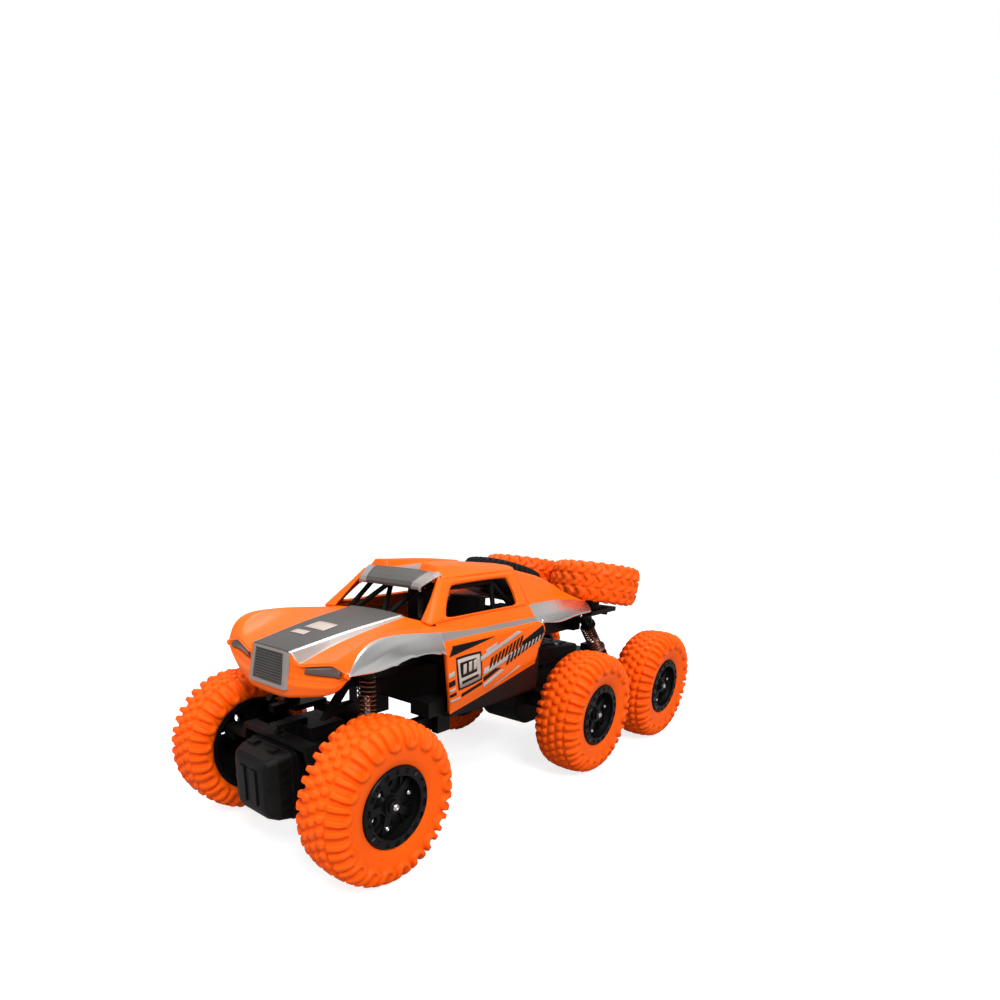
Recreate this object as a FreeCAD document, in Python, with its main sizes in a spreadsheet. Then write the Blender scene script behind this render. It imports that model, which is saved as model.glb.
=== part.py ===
import FreeCAD, Part
import math
import os
import Sketcher

# A six-wheel radio-controlled rock crawler, about 1:16 scale, in millimetres.
# +X is the truck's left, +Y its rear, +Z up. The origin is on the ground under the middle of the truck.
#
# The body shell, chassis tub and spares are one rigid assembly. In front, an arm swings on the chassis and
# carries a steered, driven axle that rolls on a pin. Behind, a longer arm carries a gear case that rocks
# and drives two axles. Each arm works against a pair of coil-over shocks.

DRIVING_DIMENSIONS = {
    "wheel_track_half": 55.8,
    "axle_height": 39.0,
    "front_axle_y": -136.5,
    "bogie_centre_y": 89.5,
    "bogie_half_base": 47.0,
    "tyre_radius": 39.0,
    "tyre_half_width": 14.0,
    "tread_half_width": 8.0,
    "rim_lip_radius": 19.5,
    "rim_barrel_radius": 26.0,
    "shaft_radius": 2.0,
    "running_gap": 0.08,
    "kingpin_x": 42.0,
    "steer_arm": 14.0,
    "horn_arm": 12.0,
    "front_box_half": 17.0,
    "front_box_front": -167.0,
    "front_box_back": -112.0,
    "front_box_low": 21.0,
    "front_box_top": 56.0,
    "case_wall": 2.5,
    "front_hinge_y": -66.0,
    "front_hinge_z": 52.0,
    "rear_hinge_y": 5.0,
    "rear_hinge_z": 54.0,
    "roll_pin_z": 44.0,
    "rail_inner_x": 22.0,
    "rail_width": 5.0,
    "tub_half": 31.0,
    "tub_front": -72.0,
    "tub_back": 12.0,
    "tub_low": 60.0,
    "tub_top": 86.0,
    "deck_low": 84.0,
    "deck_thick": 3.0,
    "front_shock_x": 33.0,
    "front_shock_y": -122.0,
    "front_shock_top": 96.0,
    "front_shock_low": 66.0,
    "rear_shock_x": 35.0,
    "rear_shock_top_y": 71.6,
    "rear_shock_top_z": 91.5,
    "rear_shock_low_y": 95.0,
    "rear_shock_low_z": 67.0,
    "shock_eye_radius": 3.4,
    "shock_pin_radius": 1.5,
    "shock_open_eye": 2.3,
    "case_half": 14.0,
    "case_radius": 18.0,
    "case_seam": 0.05,
    "spare_x": 29.0,
    "spare_y": 88.0,
    "spare_z": 114.0,
    "spare_radius": 28.5,
    "spare_half_width": 12.0,
    "spare_bore": 12.5,
    "spare_tilt": 10.0,
    "shell_wall": 2.0,
}

doc = FreeCAD.newDocument("rock_crawler")
sheet = doc.addObject("Spreadsheet::Sheet", "dims")


def fill_sheet():
    for row, (alias, value) in enumerate(DRIVING_DIMENSIONS.items(), start=1):
        sheet.set("A%d" % row, alias)
        sheet.set("B%d" % row, str(value))
        sheet.setAlias("B%d" % row, alias)
    doc.recompute()


class Size:
    """A number together with the sheet expression that gives it."""

    def __init__(self, value, text):
        self.value = float(value)
        self.text = text

    def _joined(self, other, sign, value):
        return Size(value, "(%s %s %s)" % (self.text, sign, as_size(other).text))

    def __add__(self, other):
        return self._joined(other, "+", self.value + as_size(other).value)

    def __sub__(self, other):
        return self._joined(other, "-", self.value - as_size(other).value)

    def __mul__(self, factor):
        return self._joined(factor, "*", self.value * as_size(factor).value)

    def __neg__(self):
        return self * -1


def as_size(number):
    return number if isinstance(number, Size) else Size(number, repr(float(number)))


def dim(alias):
    return Size(DRIVING_DIMENSIONS[alias], "dims." + alias)


def side_span(low, high, side):
    """Limits in X, lowest first, of a stretch that low and high give on the left side."""
    return sorted((as_size(low) * side, as_size(high) * side), key=lambda size: size.value)


def bind(thing, prop, number):
    """Bind one property to its sheet expression, or set it when it is a plain number."""
    thing.setExpression(prop, as_size(number).text)


def place(thing, x=0, y=0, z=0, turn_axis=(0, 0, 1), turn=0.0):
    """Put a document object at x, y, z with one turn about an axis through its own origin."""
    thing.Placement = FreeCAD.Placement(FreeCAD.Vector(0, 0, 0),
                                        FreeCAD.Rotation(FreeCAD.Vector(*turn_axis), turn))
    bind(thing, "Placement.Base.x", x)
    bind(thing, "Placement.Base.y", y)
    bind(thing, "Placement.Base.z", z)
    return thing


# ---- Part primitives and booleans ----

def box(low, high):
    """A block between two corners."""
    block = doc.addObject("Part::Box", "block")
    for prop, start, end in zip(("Length", "Width", "Height"), low, high):
        bind(block, prop, as_size(end) - start)
    return place(block, *low)


AXIS_TURN = {"x": ((0, 1, 0), 90.0), "y": ((1, 0, 0), -90.0), "z": ((0, 0, 1), 0.0)}


def bar(axis, centre, radius, start, end):
    """A cylinder along an axis. centre is the other two coordinates, in X, Y, Z order."""
    cylinder = doc.addObject("Part::Cylinder", "round_bar")
    bind(cylinder, "Radius", radius)
    bind(cylinder, "Height", as_size(end) - start)
    base = list(centre)
    base.insert("xyz".index(axis), start)
    turn_axis, turn = AXIS_TURN[axis]
    return place(cylinder, *base, turn_axis=turn_axis, turn=turn)


def join(label, pieces):
    """Fuse pieces. Those that don't touch stay separate solids of one node."""
    fused = doc.addObject("Part::MultiFuse", label)
    fused.Shapes = pieces
    return fused


def subtract(label, base, tools):
    result = doc.addObject("Part::Cut", label)
    result.Base = base
    result.Tool = tools[0] if len(tools) == 1 else join(label + "_tools", tools)
    return result


# ---- PartDesign bodies ----

def new_body(label):
    return doc.addObject("PartDesign::Body", label)


def origin_part(body, role):
    return next(part for part in body.Origin.OriginFeatures if part.Role == role)


def new_sketch(body, role, lift=0):
    """A sketch on one of the body's own origin planes, lifted along the plane's normal."""
    sketch = body.newObject("Sketcher::SketchObject", "outline")
    sketch.AttachmentSupport = (origin_part(body, role), [""])
    sketch.MapMode = "FlatFace"
    bind(sketch, "AttachmentOffset.Base.z", lift)
    return sketch


def pin_point(sketch, element, point, corner):
    """Hold a sketch point at a corner given as two sizes from the origin."""
    for kind, number in zip(("DistanceX", "DistanceY"), corner):
        size = as_size(number)
        index = sketch.addConstraint(Sketcher.Constraint(kind, -1, 1, element, point, size.value))
        if "dims." in size.text:
            sketch.setExpression("Constraints[%d]" % index, size.text)


def draw_polygon(sketch, corners):
    """A closed outline of straight lines with every corner dimensioned."""
    points = [FreeCAD.Vector(as_size(x).value, as_size(y).value, 0) for x, y in corners]
    lines = [sketch.addGeometry(Part.LineSegment(a, b)) for a, b in zip(points, points[1:] + points[:1])]
    for here, after in zip(lines, lines[1:] + lines[:1]):
        sketch.addConstraint(Sketcher.Constraint("Coincident", here, 2, after, 1))
    for line, corner in zip(lines, corners):
        pin_point(sketch, line, 1, corner)


def draw_circle(sketch, centre, radius):
    size = as_size(radius)
    middle = FreeCAD.Vector(as_size(centre[0]).value, as_size(centre[1]).value, 0)
    circle = sketch.addGeometry(Part.Circle(middle, FreeCAD.Vector(0, 0, 1), size.value))
    pin_point(sketch, circle, 3, centre)
    index = sketch.addConstraint(Sketcher.Constraint("Radius", circle, size.value))
    bind(sketch, "Constraints[%d]" % index, size)


def revolve(body, corners, role="XY_Plane", axis="H_Axis"):
    sketch = new_sketch(body, role)
    draw_polygon(sketch, corners)
    feature = body.newObject("PartDesign::Revolution", "turned")
    feature.Profile = sketch
    feature.ReferenceAxis = (sketch, [axis])
    feature.Angle = 360
    return feature


def pad(body, role, corners, start, length):
    sketch = new_sketch(body, role, start)
    draw_polygon(sketch, corners)
    feature = body.newObject("PartDesign::Pad", "pad")
    feature.Profile = sketch
    bind(feature, "Length", length)
    return feature


def drill(body, role, centre, radius):
    """A round hole right through the body, along the plane's normal in both directions."""
    doc.recompute()
    before = body.Shape.Volume
    sketch = new_sketch(body, role)
    draw_circle(sketch, centre, radius)
    feature = body.newObject("PartDesign::Pocket", "hole")
    feature.Profile = sketch
    feature.Type = 1
    feature.Midplane = True
    doc.recompute()
    if not body.Shape.Volume < before:
        raise RuntimeError("a hole in %s cuts nothing" % body.Label)
    return feature


def ring_pattern(body, feature, axis_role, count):
    pattern = body.newObject("PartDesign::PolarPattern", "ring")
    pattern.Originals = [feature]
    pattern.Axis = (origin_part(body, axis_role), [""])
    pattern.Angle = 360
    pattern.Occurrences = count
    body.Tip = pattern
    return pattern


def shaped(label, shape):
    """A free-form solid that neither sketches nor primitives suit."""
    feature = doc.addObject("Part::Feature", label)
    feature.Shape = shape
    feature.Placement = FreeCAD.Placement()
    return feature


# ---- wheels ----

WHEEL_STATIONS = {
    "front": dim("front_axle_y"),
    "middle": dim("bogie_centre_y") - dim("bogie_half_base"),
    "rear": dim("bogie_centre_y") + dim("bogie_half_base"),
}
SIDES = {"left": 1, "right": -1}


def at_wheel(body, station, side):
    """Wheels are drawn with the outboard side towards +X, and turned round for the right."""
    turn = 0.0 if side > 0 else 180.0
    return place(body, dim("wheel_track_half") * side, WHEEL_STATIONS[station], dim("axle_height"), turn=turn)


def make_tyre(station, side_name):
    """Hollow soft tyre: two beads on the rim, side walls and a thick tread."""
    body = new_body("tyre_%s_%s" % (station, side_name))
    outer = dim("tyre_radius")
    half = dim("tyre_half_width")
    flat = dim("tread_half_width")
    lip = dim("rim_lip_radius")
    barrel = dim("rim_barrel_radius")
    outside = [(-(half - 0.4), barrel), (-half, outer - 9), (-(half - 3), outer - 2.5), (-flat, outer),
               (flat, outer), (half - 3, outer - 2.5), (half, outer - 9), (half - 0.8, outer - 15),
               (half - 2.4, lip)]
    inside = [(half - 5.4, lip), (half - 3.8, outer - 15), (half - 3, outer - 9), (half - 5.4, outer - 5),
              (flat - 1.5, outer - 3.4), (-(flat - 1.5), outer - 3.4), (-(half - 5.4), outer - 5),
              (-(half - 3), outer - 9), (-(half - 3), barrel)]
    revolve(body, outside + inside)
    return at_wheel(body, station, SIDES[side_name])


def make_rim(station, side_name):
    body = new_body("rim_%s_%s" % (station, side_name))
    lip = dim("rim_lip_radius")
    barrel = dim("rim_barrel_radius")
    bore = dim("shaft_radius")
    revolve(body, [
        (11.4, lip), (6, lip), (-8, barrel), (-13.4, barrel), (-13.4, barrel - 2), (-8, barrel - 2),
        (4, lip - 2), (4, 6.5), (-3, 6.5), (-3, bore), (8, bore), (8, 5.5), (6.5, 6.5), (6.5, lip - 4.5),
        (11.4, lip - 3)])
    hole = drill(body, "YZ_Plane", (0, 11), 2.7)
    ring_pattern(body, hole, "X_Axis", 6)
    return at_wheel(body, station, SIDES[side_name])


def make_stub(side_name):
    """Front wheel shaft: a cup that takes the drive ball, the shaft and the wheel nut."""
    body = new_body("stub_axle_" + side_name)
    bore = dim("shaft_radius")
    cup = dim("kingpin_x") - dim("wheel_track_half")
    revolve(body, [
        (cup - 1, 3.3), (cup - 1, 5), (cup + 4.5, 5), (cup + 4.5, bore), (8, bore), (8, 3.5), (9.5, 3.5),
        (9.5, 0), (cup + 3.8, 0), (cup + 3.8, 3.3)])
    return at_wheel(body, "front", SIDES[side_name])


def make_axle(station):
    """Steel shaft of a bogie axle, with a wheel nut on each end."""
    body = new_body(station + "_axle_shaft")
    end = dim("wheel_track_half") + 8
    bore = dim("shaft_radius")
    revolve(body, [
        (-(end + 1.5), 0), (end + 1.5, 0), (end + 1.5, 3.5), (end, 3.5), (end, bore), (-end, bore),
        (-end, 3.5), (-(end + 1.5), 3.5)])
    return place(body, 0, WHEEL_STATIONS[station], dim("axle_height"))


def make_wheels():
    for station in WHEEL_STATIONS:
        for side_name in SIDES:
            make_tyre(station, side_name)
            make_rim(station, side_name)
    for side_name in SIDES:
        make_stub(side_name)
    for station in ("middle", "rear"):
        make_axle(station)


# ---- gears ----

GEAR_MODULE_FRONT = 0.8
GEAR_MODULE_BOGIE = 0.94
TOOTH_SLIM = 0.90


def gear_outline(teeth, module, first_tooth, x):
    """Trapezoid teeth round the X axis, in the plane at x. Angles run from +Y towards +Z."""
    pitch_radius = teeth * module / 2
    root = pitch_radius - 1.2 * module
    tip = pitch_radius + 0.85 * module
    step = 2 * math.pi / teeth
    root_share = 0.36 * TOOTH_SLIM
    tip_share = 0.14 * TOOTH_SLIM
    points = []
    for tooth in range(teeth):
        middle = first_tooth + tooth * step
        for radius, offset in ((root, -root_share), (tip, -tip_share), (tip, tip_share), (root, root_share)):
            angle = middle + offset * step
            points.append(FreeCAD.Vector(x, radius * math.cos(angle), radius * math.sin(angle)))
    return Part.makePolygon(points + points[:1])


def gear_shape(teeth, module, first_tooth, x_low, x_high, bore_radius):
    disc = Part.Face(gear_outline(teeth, module, first_tooth, x_low))
    gear = disc.extrude(FreeCAD.Vector(x_high - x_low, 0, 0))
    if bore_radius == 0:
        return gear
    return gear.cut(shaft_shape(bore_radius, x_low, x_high))


def shaft_shape(radius, x_low, x_high):
    return Part.makeCylinder(radius, x_high - x_low, FreeCAD.Vector(x_low, 0, 0), FreeCAD.Vector(1, 0, 0))


def gear_node(label, shape, y, z):
    return place(shaped(label, shape), 0, y, z)


AXLE_TEETH = 25
FRONT_GEAR_TEETH = 28
PINION_TEETH = 10


def meshing_angle(teeth, module_angle, other_teeth, other_first):
    """First tooth angle of a gear that lies in direction module_angle from another gear."""
    other_phase = (module_angle - other_first) * other_teeth / (2 * math.pi)
    own_phase = 0.5 - other_phase
    return module_angle + math.pi - own_phase * 2 * math.pi / teeth


def make_front_gears():
    axle_y = dim("front_axle_y")
    axle_z = dim("axle_height")
    shaft = dim("shaft_radius").value
    gear_node("front_drive_gear", gear_shape(FRONT_GEAR_TEETH, GEAR_MODULE_FRONT, 0, 9, 13, shaft),
              axle_y, axle_z)
    spacing = (FRONT_GEAR_TEETH + PINION_TEETH) * GEAR_MODULE_FRONT / 2
    first = meshing_angle(PINION_TEETH, math.pi, FRONT_GEAR_TEETH, 0)
    pinion = gear_shape(PINION_TEETH, GEAR_MODULE_FRONT, first, 9, 13, 0)
    gear_node("front_motor_pinion", pinion.fuse(shaft_shape(1, 8.2, 9)), axle_y - spacing, axle_z)
    motor = shaft_shape(9, -14, 7).fuse(shaft_shape(3, 7, 8))
    gear_node("front_motor", motor, axle_y - spacing, axle_z)
    ends = dim("kingpin_x").value
    drive = shaft_shape(shaft, 6 - ends, ends - 6).fuse(shaft_shape(1.4, -ends, ends))
    for side in SIDES.values():
        drive = drive.fuse(Part.makeSphere(2.8, FreeCAD.Vector(side * ends, 0, 0)))
    gear_node("front_drive_shaft", drive, axle_y, axle_z)


def make_bogie_gears():
    shaft = dim("shaft_radius").value
    step = dim("bogie_half_base") * 0.5
    start = WHEEL_STATIONS["middle"]
    height = dim("axle_height")
    solid_gear = gear_shape(AXLE_TEETH, GEAR_MODULE_BOGIE, 0, 5, 9, 0)
    for station in ("middle", "rear"):
        gear = gear_shape(AXLE_TEETH, GEAR_MODULE_BOGIE, 0, 5, 9, shaft)
        gear_node(station + "_axle_gear", gear, WHEEL_STATIONS[station], height)
    for count, name in enumerate(("front", "centre", "rear"), start=1):
        idler = solid_gear.fuse(shaft_shape(1.5, -12.9, 12.9))
        gear_node("bogie_idler_" + name, idler, start + step * count, height)
    rise = (AXLE_TEETH + PINION_TEETH) * GEAR_MODULE_BOGIE / 2
    first = meshing_angle(PINION_TEETH, math.pi / 2, AXLE_TEETH, 0)
    pinion = gear_shape(PINION_TEETH, GEAR_MODULE_BOGIE, first, 5, 9, 0)
    gear_node("bogie_motor_pinion", pinion.fuse(shaft_shape(1, 4.2, 5)), start + step, height + rise)
    motor = shaft_shape(8.5, -11, 3).fuse(shaft_shape(3, 3, 4))
    gear_node("bogie_motor", motor, start + step, height + rise)


# ---- front axle ----

def front_box_shell(low_y, high_y):
    """Hollow gear box between two Y planes, open where the two halves meet."""
    half = dim("front_box_half")
    wall = dim("case_wall")
    outer = box((-half, low_y, dim("front_box_low")), (half, high_y, dim("front_box_top")))
    inner = box((wall - half, dim("front_box_front") + wall, dim("front_box_low") + wall),
                (half - wall, dim("front_box_back") - wall, dim("front_box_top") - wall))
    return outer, inner


def make_front_housing():
    axle_y = dim("front_axle_y")
    axle_z = dim("axle_height")
    seam = dim("case_seam")
    king = dim("kingpin_x")
    fit = dim("shaft_radius") + dim("running_gap")
    outer, inner = front_box_shell(dim("front_box_front"), axle_y - seam)
    ribs = [box((x - 1.2, dim("front_box_front") - 1.5, 26), (x + 1.2, dim("front_box_front"), 51))
            for x in (-10, 0, 10)]
    shaft_hole = bar("x", (axle_y, axle_z), fit, -60, 60)
    subtract("front_housing_front", join("front_cover_blank", [outer] + ribs), [inner, shaft_hole])

    outer, inner = front_box_shell(axle_y + seam, dim("front_box_back"))
    half = dim("front_box_half")
    solids = []
    holes = [bar("x", (axle_y, axle_z), fit, -60, 60)]
    roll_fit = as_size(3) + dim("running_gap")
    holes.append(bar("y", (0, dim("roll_pin_z")), roll_fit, -121, dim("front_box_back") + 1))
    pin_boss = bar("y", (0, dim("roll_pin_z")), 6, -120, dim("front_box_back"))
    for side in SIDES.values():
        ends = side_span(half, king - 5, side)
        solids.append(bar("x", (axle_y, axle_z), 8, ends[0], ends[1]))
        web = side_span(king - 8, king - 5, side)
        solids.append(box((web[0], axle_y - 5, axle_z - 7.7), (web[1], axle_y + 5, axle_z + 7.7)))
        ear = side_span(king - 5.5, king + 3.5, side)
        for low, high in ((5.7, 7.7), (-7.7, -5.7)):
            solids.append(box((ear[0], axle_y - 4, axle_z + low), (ear[1], axle_y + 4, axle_z + high)))
        holes.append(bar("z", (king * side, axle_y), as_size(1.5) + dim("running_gap"), 20, 60))
    shell = subtract("front_case_blank", outer, [inner])
    blank = join("front_axle_blank", [shell, pin_boss] + solids)
    subtract("front_housing_rear", blank, holes)


def make_knuckle(side_name):
    """C-shaped steering knuckle: wheel bearing, kingpins and the steering arm."""
    side = SIDES[side_name]
    axle_y = dim("front_axle_y")
    axle_z = dim("axle_height")
    king = dim("kingpin_x")

    def span(low, high):
        return side_span(king + low, king + high, side)

    plate = span(-4, 10)
    web = span(5.2, 10)
    solids = [box((web[0], axle_y - 5, axle_z - 11.5), (web[1], axle_y + 5, axle_z + 11.5))]
    for low, high in ((8.0, 11.5), (-11.5, -8.0)):
        solids.append(box((plate[0], axle_y - 5, axle_z + low), (plate[1], axle_y + 5, axle_z + high)))
    solids.append(bar("z", (king * side, axle_y), 1.5, axle_z + 6.0, axle_z + 11))
    solids.append(bar("z", (king * side, axle_y), 1.5, axle_z - 11, axle_z - 6.0))
    arm = span(-4, 4)
    arm_end = axle_y - dim("steer_arm")
    solids.append(box((arm[0], arm_end - 3, axle_z + 8), (arm[1], axle_y - 4, axle_z + 11.5)))
    solids.append(bar("z", (king * side, arm_end), 1.5, axle_z + 11, axle_z + 15.5))
    bearing = span(4, 11)
    hole = bar("x", (axle_y, axle_z), dim("shaft_radius") + dim("running_gap"), bearing[0], bearing[1])
    subtract("knuckle_" + side_name, join("knuckle_blank_" + side_name, solids), [hole])


def make_tie_rod():
    """Cranked rod over the gear box, with a slot for each steering arm and one for the horn."""
    body = new_body("tie_rod_blank")
    low = dim("axle_height") + 12.2
    high = low + 2.8
    crown = dim("front_box_top") + 1.4
    end = dim("kingpin_x") + 2.8
    link_y = dim("front_axle_y") - dim("steer_arm")
    pad(body, "XZ_Plane", [
        (-end, low), (-26, low), (-24, crown), (24, crown), (26, low), (end, low),
        (end, high), (27.5, high), (25.5, crown + 2.8), (-25.5, crown + 2.8), (-27.5, high), (-end, high)],
        -link_y - 3.9, 6.9)
    slots = [box((x - 1.8, link_y - 1.8, low - 1), (x + 1.8, link_y + 2.7, crown + 4))
             for x in (-dim("kingpin_x"), as_size(0), dim("kingpin_x"))]
    return subtract("tie_rod", body, slots)


def make_steering_servo():
    top = dim("front_box_top")
    case = box((-9, -140.5, top), (13, -120.5, top + 7))
    boss = bar("z", (0, dim("front_axle_y") - dim("steer_arm") + dim("horn_arm")), 3.5, top, top + 6.6)
    join("steering_servo", [case, boss])
    pivot_y = dim("front_axle_y") - dim("steer_arm") + dim("horn_arm")
    plate = box((-3, pivot_y - dim("horn_arm") - 2.4, top + 7.0), (3, pivot_y + 3.5, top + 9.0))
    pin = bar("z", (0, pivot_y - dim("horn_arm")), 1.4, top + 1.8, top + 8)
    join("steering_horn", [plate, pin])


# ---- suspension arms ----

def make_front_arm():
    hinge_y = dim("front_hinge_y")
    hinge_z = dim("front_hinge_z")
    inner = dim("rail_inner_x")
    outer = inner + dim("rail_width")
    solids = [box((-outer, -109, 36), (outer, -105, 62)), bar("y", (0, dim("roll_pin_z")), 3, -119, -107)]
    holes = []
    for side in SIDES.values():
        rail = side_span(inner, outer, side)
        solids.append(box((rail[0], -107, hinge_z - 4), (rail[1], hinge_y, hinge_z + 4)))
        solids.append(bar("x", (hinge_y, hinge_z), 5, rail[0], rail[1]))
        shelf = side_span(20, 29.5, side)
        solids.append(box((shelf[0], -126, 60.5), (shelf[1], -105, 63.5)))
        horn = side_span(24.8, 29.5, side)
        solids.append(box((horn[0], -136, 60.5), (horn[1], -125, 64.5)))
        lug = side_span(26.5, 29.5, side)
        solids.append(box((lug[0], -126, 62), (lug[1], -118, 67.8)))
        pin = side_span(28, 36.2, side)
        solids.append(bar("x", (dim("front_shock_y"), dim("front_shock_low")), dim("shock_pin_radius"),
                          pin[0], pin[1]))
        holes.append(bar("x", (hinge_y, hinge_z), as_size(2) + dim("running_gap"), rail[0] - 1, rail[1] + 1))
    subtract("front_arm", join("front_arm_blank", solids), holes)


def make_rear_arm():
    hinge_y = dim("rear_hinge_y")
    hinge_z = dim("rear_hinge_z")
    inner = dim("rail_inner_x")
    outer = inner + dim("rail_width")
    pivot_y = dim("bogie_centre_y")
    rail_rise = 3.8  # the rails end just below anything that lies on the tub's underside
    solids = [box((-outer, 14, hinge_z + 1), (outer, 18, hinge_z + rail_rise))]
    holes = []
    for side in SIDES.values():
        rail = side_span(inner, outer, side)
        solids.append(box((rail[0], hinge_y, hinge_z - 4), (rail[1], pivot_y + 8, hinge_z + rail_rise)))
        solids.append(bar("x", (hinge_y, hinge_z), rail_rise, rail[0], rail[1]))
        solids.append(bar("x", (pivot_y, hinge_z), 5, rail[0], rail[1]))
        solids.append(box((rail[0], 90, hinge_z), (rail[1], 99, 71)))
        pin = side_span(outer - 1, outer + 12.5, side)
        solids.append(bar("x", (dim("rear_shock_low_y"), dim("rear_shock_low_z")), dim("shock_pin_radius"),
                          pin[0], pin[1]))
        pivot = side_span(dim("case_half") + 0.7, inner + 1, side)
        solids.append(bar("x", (pivot_y, hinge_z), 3, pivot[0], pivot[1]))
        holes.append(bar("x", (hinge_y, hinge_z), as_size(2) + dim("running_gap"), rail[0] - 1, rail[1] + 1))
    subtract("rear_arm", join("rear_arm_blank", solids), holes)


# ---- bogie gear case ----

def racetrack(radius, x_low, x_high):
    """A solid with a slot-shaped outline round both bogie axles."""
    height = dim("axle_height")
    ends = [WHEEL_STATIONS["middle"], WHEEL_STATIONS["rear"]]
    rounds = [bar("x", (y, height), radius, x_low, x_high) for y in ends]
    return rounds + [box((x_low, ends[0], height - radius), (x_high, ends[1], height + radius))]


def make_bogie_case(side_name):
    side = SIDES[side_name]
    height = dim("axle_height")
    wall = dim("case_wall")
    radius = dim("case_radius")

    def span(low, high):
        return side_span(low, high, side)

    seam = dim("case_seam")
    outer_x = span(seam, dim("case_half"))
    hump = box((outer_x[0], 55.5, height + 10), (outer_x[1], 76.5, 67.5))
    boss_x = span(dim("case_half") - 0.5, dim("rail_inner_x") - 0.6)
    boss = bar("x", (dim("bogie_centre_y"), dim("rear_hinge_z")), 6, boss_x[0], boss_x[1])
    tube_x = span(dim("case_half") - 0.5, 47)
    tubes = [bar("x", (WHEEL_STATIONS[station], height), 5, tube_x[0], tube_x[1])
             for station in ("middle", "rear")]
    blank = join("bogie_blank_" + side_name, racetrack(radius, outer_x[0], outer_x[1]) + [hump, boss] + tubes)

    inner_x = span(-1, dim("case_half") - wall)
    holes = racetrack(radius - wall, inner_x[0], inner_x[1])
    holes.append(box((inner_x[0], 57, height), (inner_x[1], 75, 65.5)))
    through = span(-1, 60)
    for station in ("middle", "rear"):
        holes.append(bar("x", (WHEEL_STATIONS[station], height), dim("shaft_radius") + dim("running_gap"),
                         through[0], through[1]))
    pin_x = span(dim("case_half") + 0.4, 30)
    holes.append(bar("x", (dim("bogie_centre_y"), dim("rear_hinge_z")), as_size(3) + dim("running_gap"),
                     pin_x[0], pin_x[1]))
    seat_x = span(5, 13.2)
    for count in (1, 2, 3):
        y = WHEEL_STATIONS["middle"] + dim("bogie_half_base") * (0.5 * count)
        holes.append(bar("x", (y, height), as_size(1.5) + dim("running_gap"), seat_x[0], seat_x[1]))
    subtract("bogie_case_" + side_name, blank, holes)


# ---- shocks ----

def shock_body_pieces(x, slack):
    """Upper half of a shock hanging from its eye at the origin: eye, damper tube and spring seat."""
    eye = bar("x", (0, 0), dim("shock_eye_radius"), x - 2.5, x + 2.5)
    tube = bar("z", (x, 0), 2.8, -16 - slack, -2)
    seat = bar("z", (x, 0), 4.8, -6, -4.5)
    pin_hole = bar("x", (0, 0), dim("shock_pin_radius") + dim("running_gap"), x - 4, x + 4)
    rod_hole = bar("z", (x, 0), 1.5, -18 - slack, -4.6)
    return [eye, tube, seat], [pin_hole, rod_hole]


def shock_rod_pieces(x, length):
    """Lower half: rod, spring seat and an eye with play round its pin."""
    rod = bar("z", (x, 0), 1.4, -length + 2, -12.6)
    seat = bar("z", (x, 0), 4.6, -length + 3.5, -length + 5)
    stem = bar("z", (x, 0), 2.2, -length + 1, -length + 4)
    eye = bar("x", (0, -length), dim("shock_eye_radius"), x - 2.5, x + 2.5)
    hole = bar("x", (0, -length), dim("shock_open_eye"), x - 4, x + 4)
    return [rod, seat, stem, eye], [hole]


def spring_shape(x, length, turns):
    """Coil spring round a vertical line at x, from the upper seat to the lower seat."""
    wire = 0.55
    low = -length + 5 + wire + 0.02
    high = -6 - wire - 0.02
    mean_radius = 4.15
    helix = Part.makeHelix((high - low) / turns, high - low, mean_radius)
    profile = Part.Wire(Part.makeCircle(wire, FreeCAD.Vector(mean_radius, 0, 0), FreeCAD.Vector(0, 1, 0)))
    coil = Part.Wire(helix).makePipeShell([profile], True, True)
    coil.translate(FreeCAD.Vector(x, 0, low))
    return coil


def make_shocks(end, x, top_y, top_z, low_y, low_z, turns):
    reach_y = low_y.value - top_y.value
    drop = top_z.value - low_z.value
    length = math.hypot(reach_y, drop)
    lean = math.degrees(math.atan2(reach_y, drop))
    slack = length - 30.0
    bodies, body_holes, rods, rod_holes, coils = [], [], [], [], []
    for side in SIDES.values():
        solids, holes = shock_body_pieces(x * side, slack * 0.5)
        bodies += solids
        body_holes += holes
        solids, holes = shock_rod_pieces(x * side, length)
        rods += solids
        rod_holes += holes
        coils.append(spring_shape(x.value * side, length, turns))
    halves = [subtract(end + "_shock_bodies", join(end + "_shock_body_blanks", bodies), body_holes),
              subtract(end + "_shock_rods", join(end + "_shock_rod_blanks", rods), rod_holes),
              shaped(end + "_springs", Part.makeCompound(coils))]
    for half in halves:
        place(half, 0, top_y, top_z, turn_axis=(1, 0, 0), turn=lean)


# ---- chassis ----

def make_stay(side):
    """Triangular plate with a hole, hanging from the front deck ahead of a spring tower."""
    x = side_span(20.5, 24, side)[0].value
    plate = prism([(x, -141, 69.5), (x, -125.5, 86.5), (x, -120.4, 86.5), (x, -120.4, 73.5)], (3.5, 0, 0))
    hole = prism([(x, -134, 72.8), (x, -124.6, 82.8), (x, -122.6, 82.4), (x, -122.6, 75)], (3.5, 0, 0))
    return shaped("stay", plate.cut(hole))


TUB_SCREWS = [(-14, -57), (14, -57)]
DOOR_SCREW = (0, -6)


def screw_recess(x, y):
    """Round pocket in the underside that takes a screw head flush."""
    return bar("z", (x, y), 2.2, dim("tub_low") - 1, dim("tub_low") + 1.4)


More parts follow.
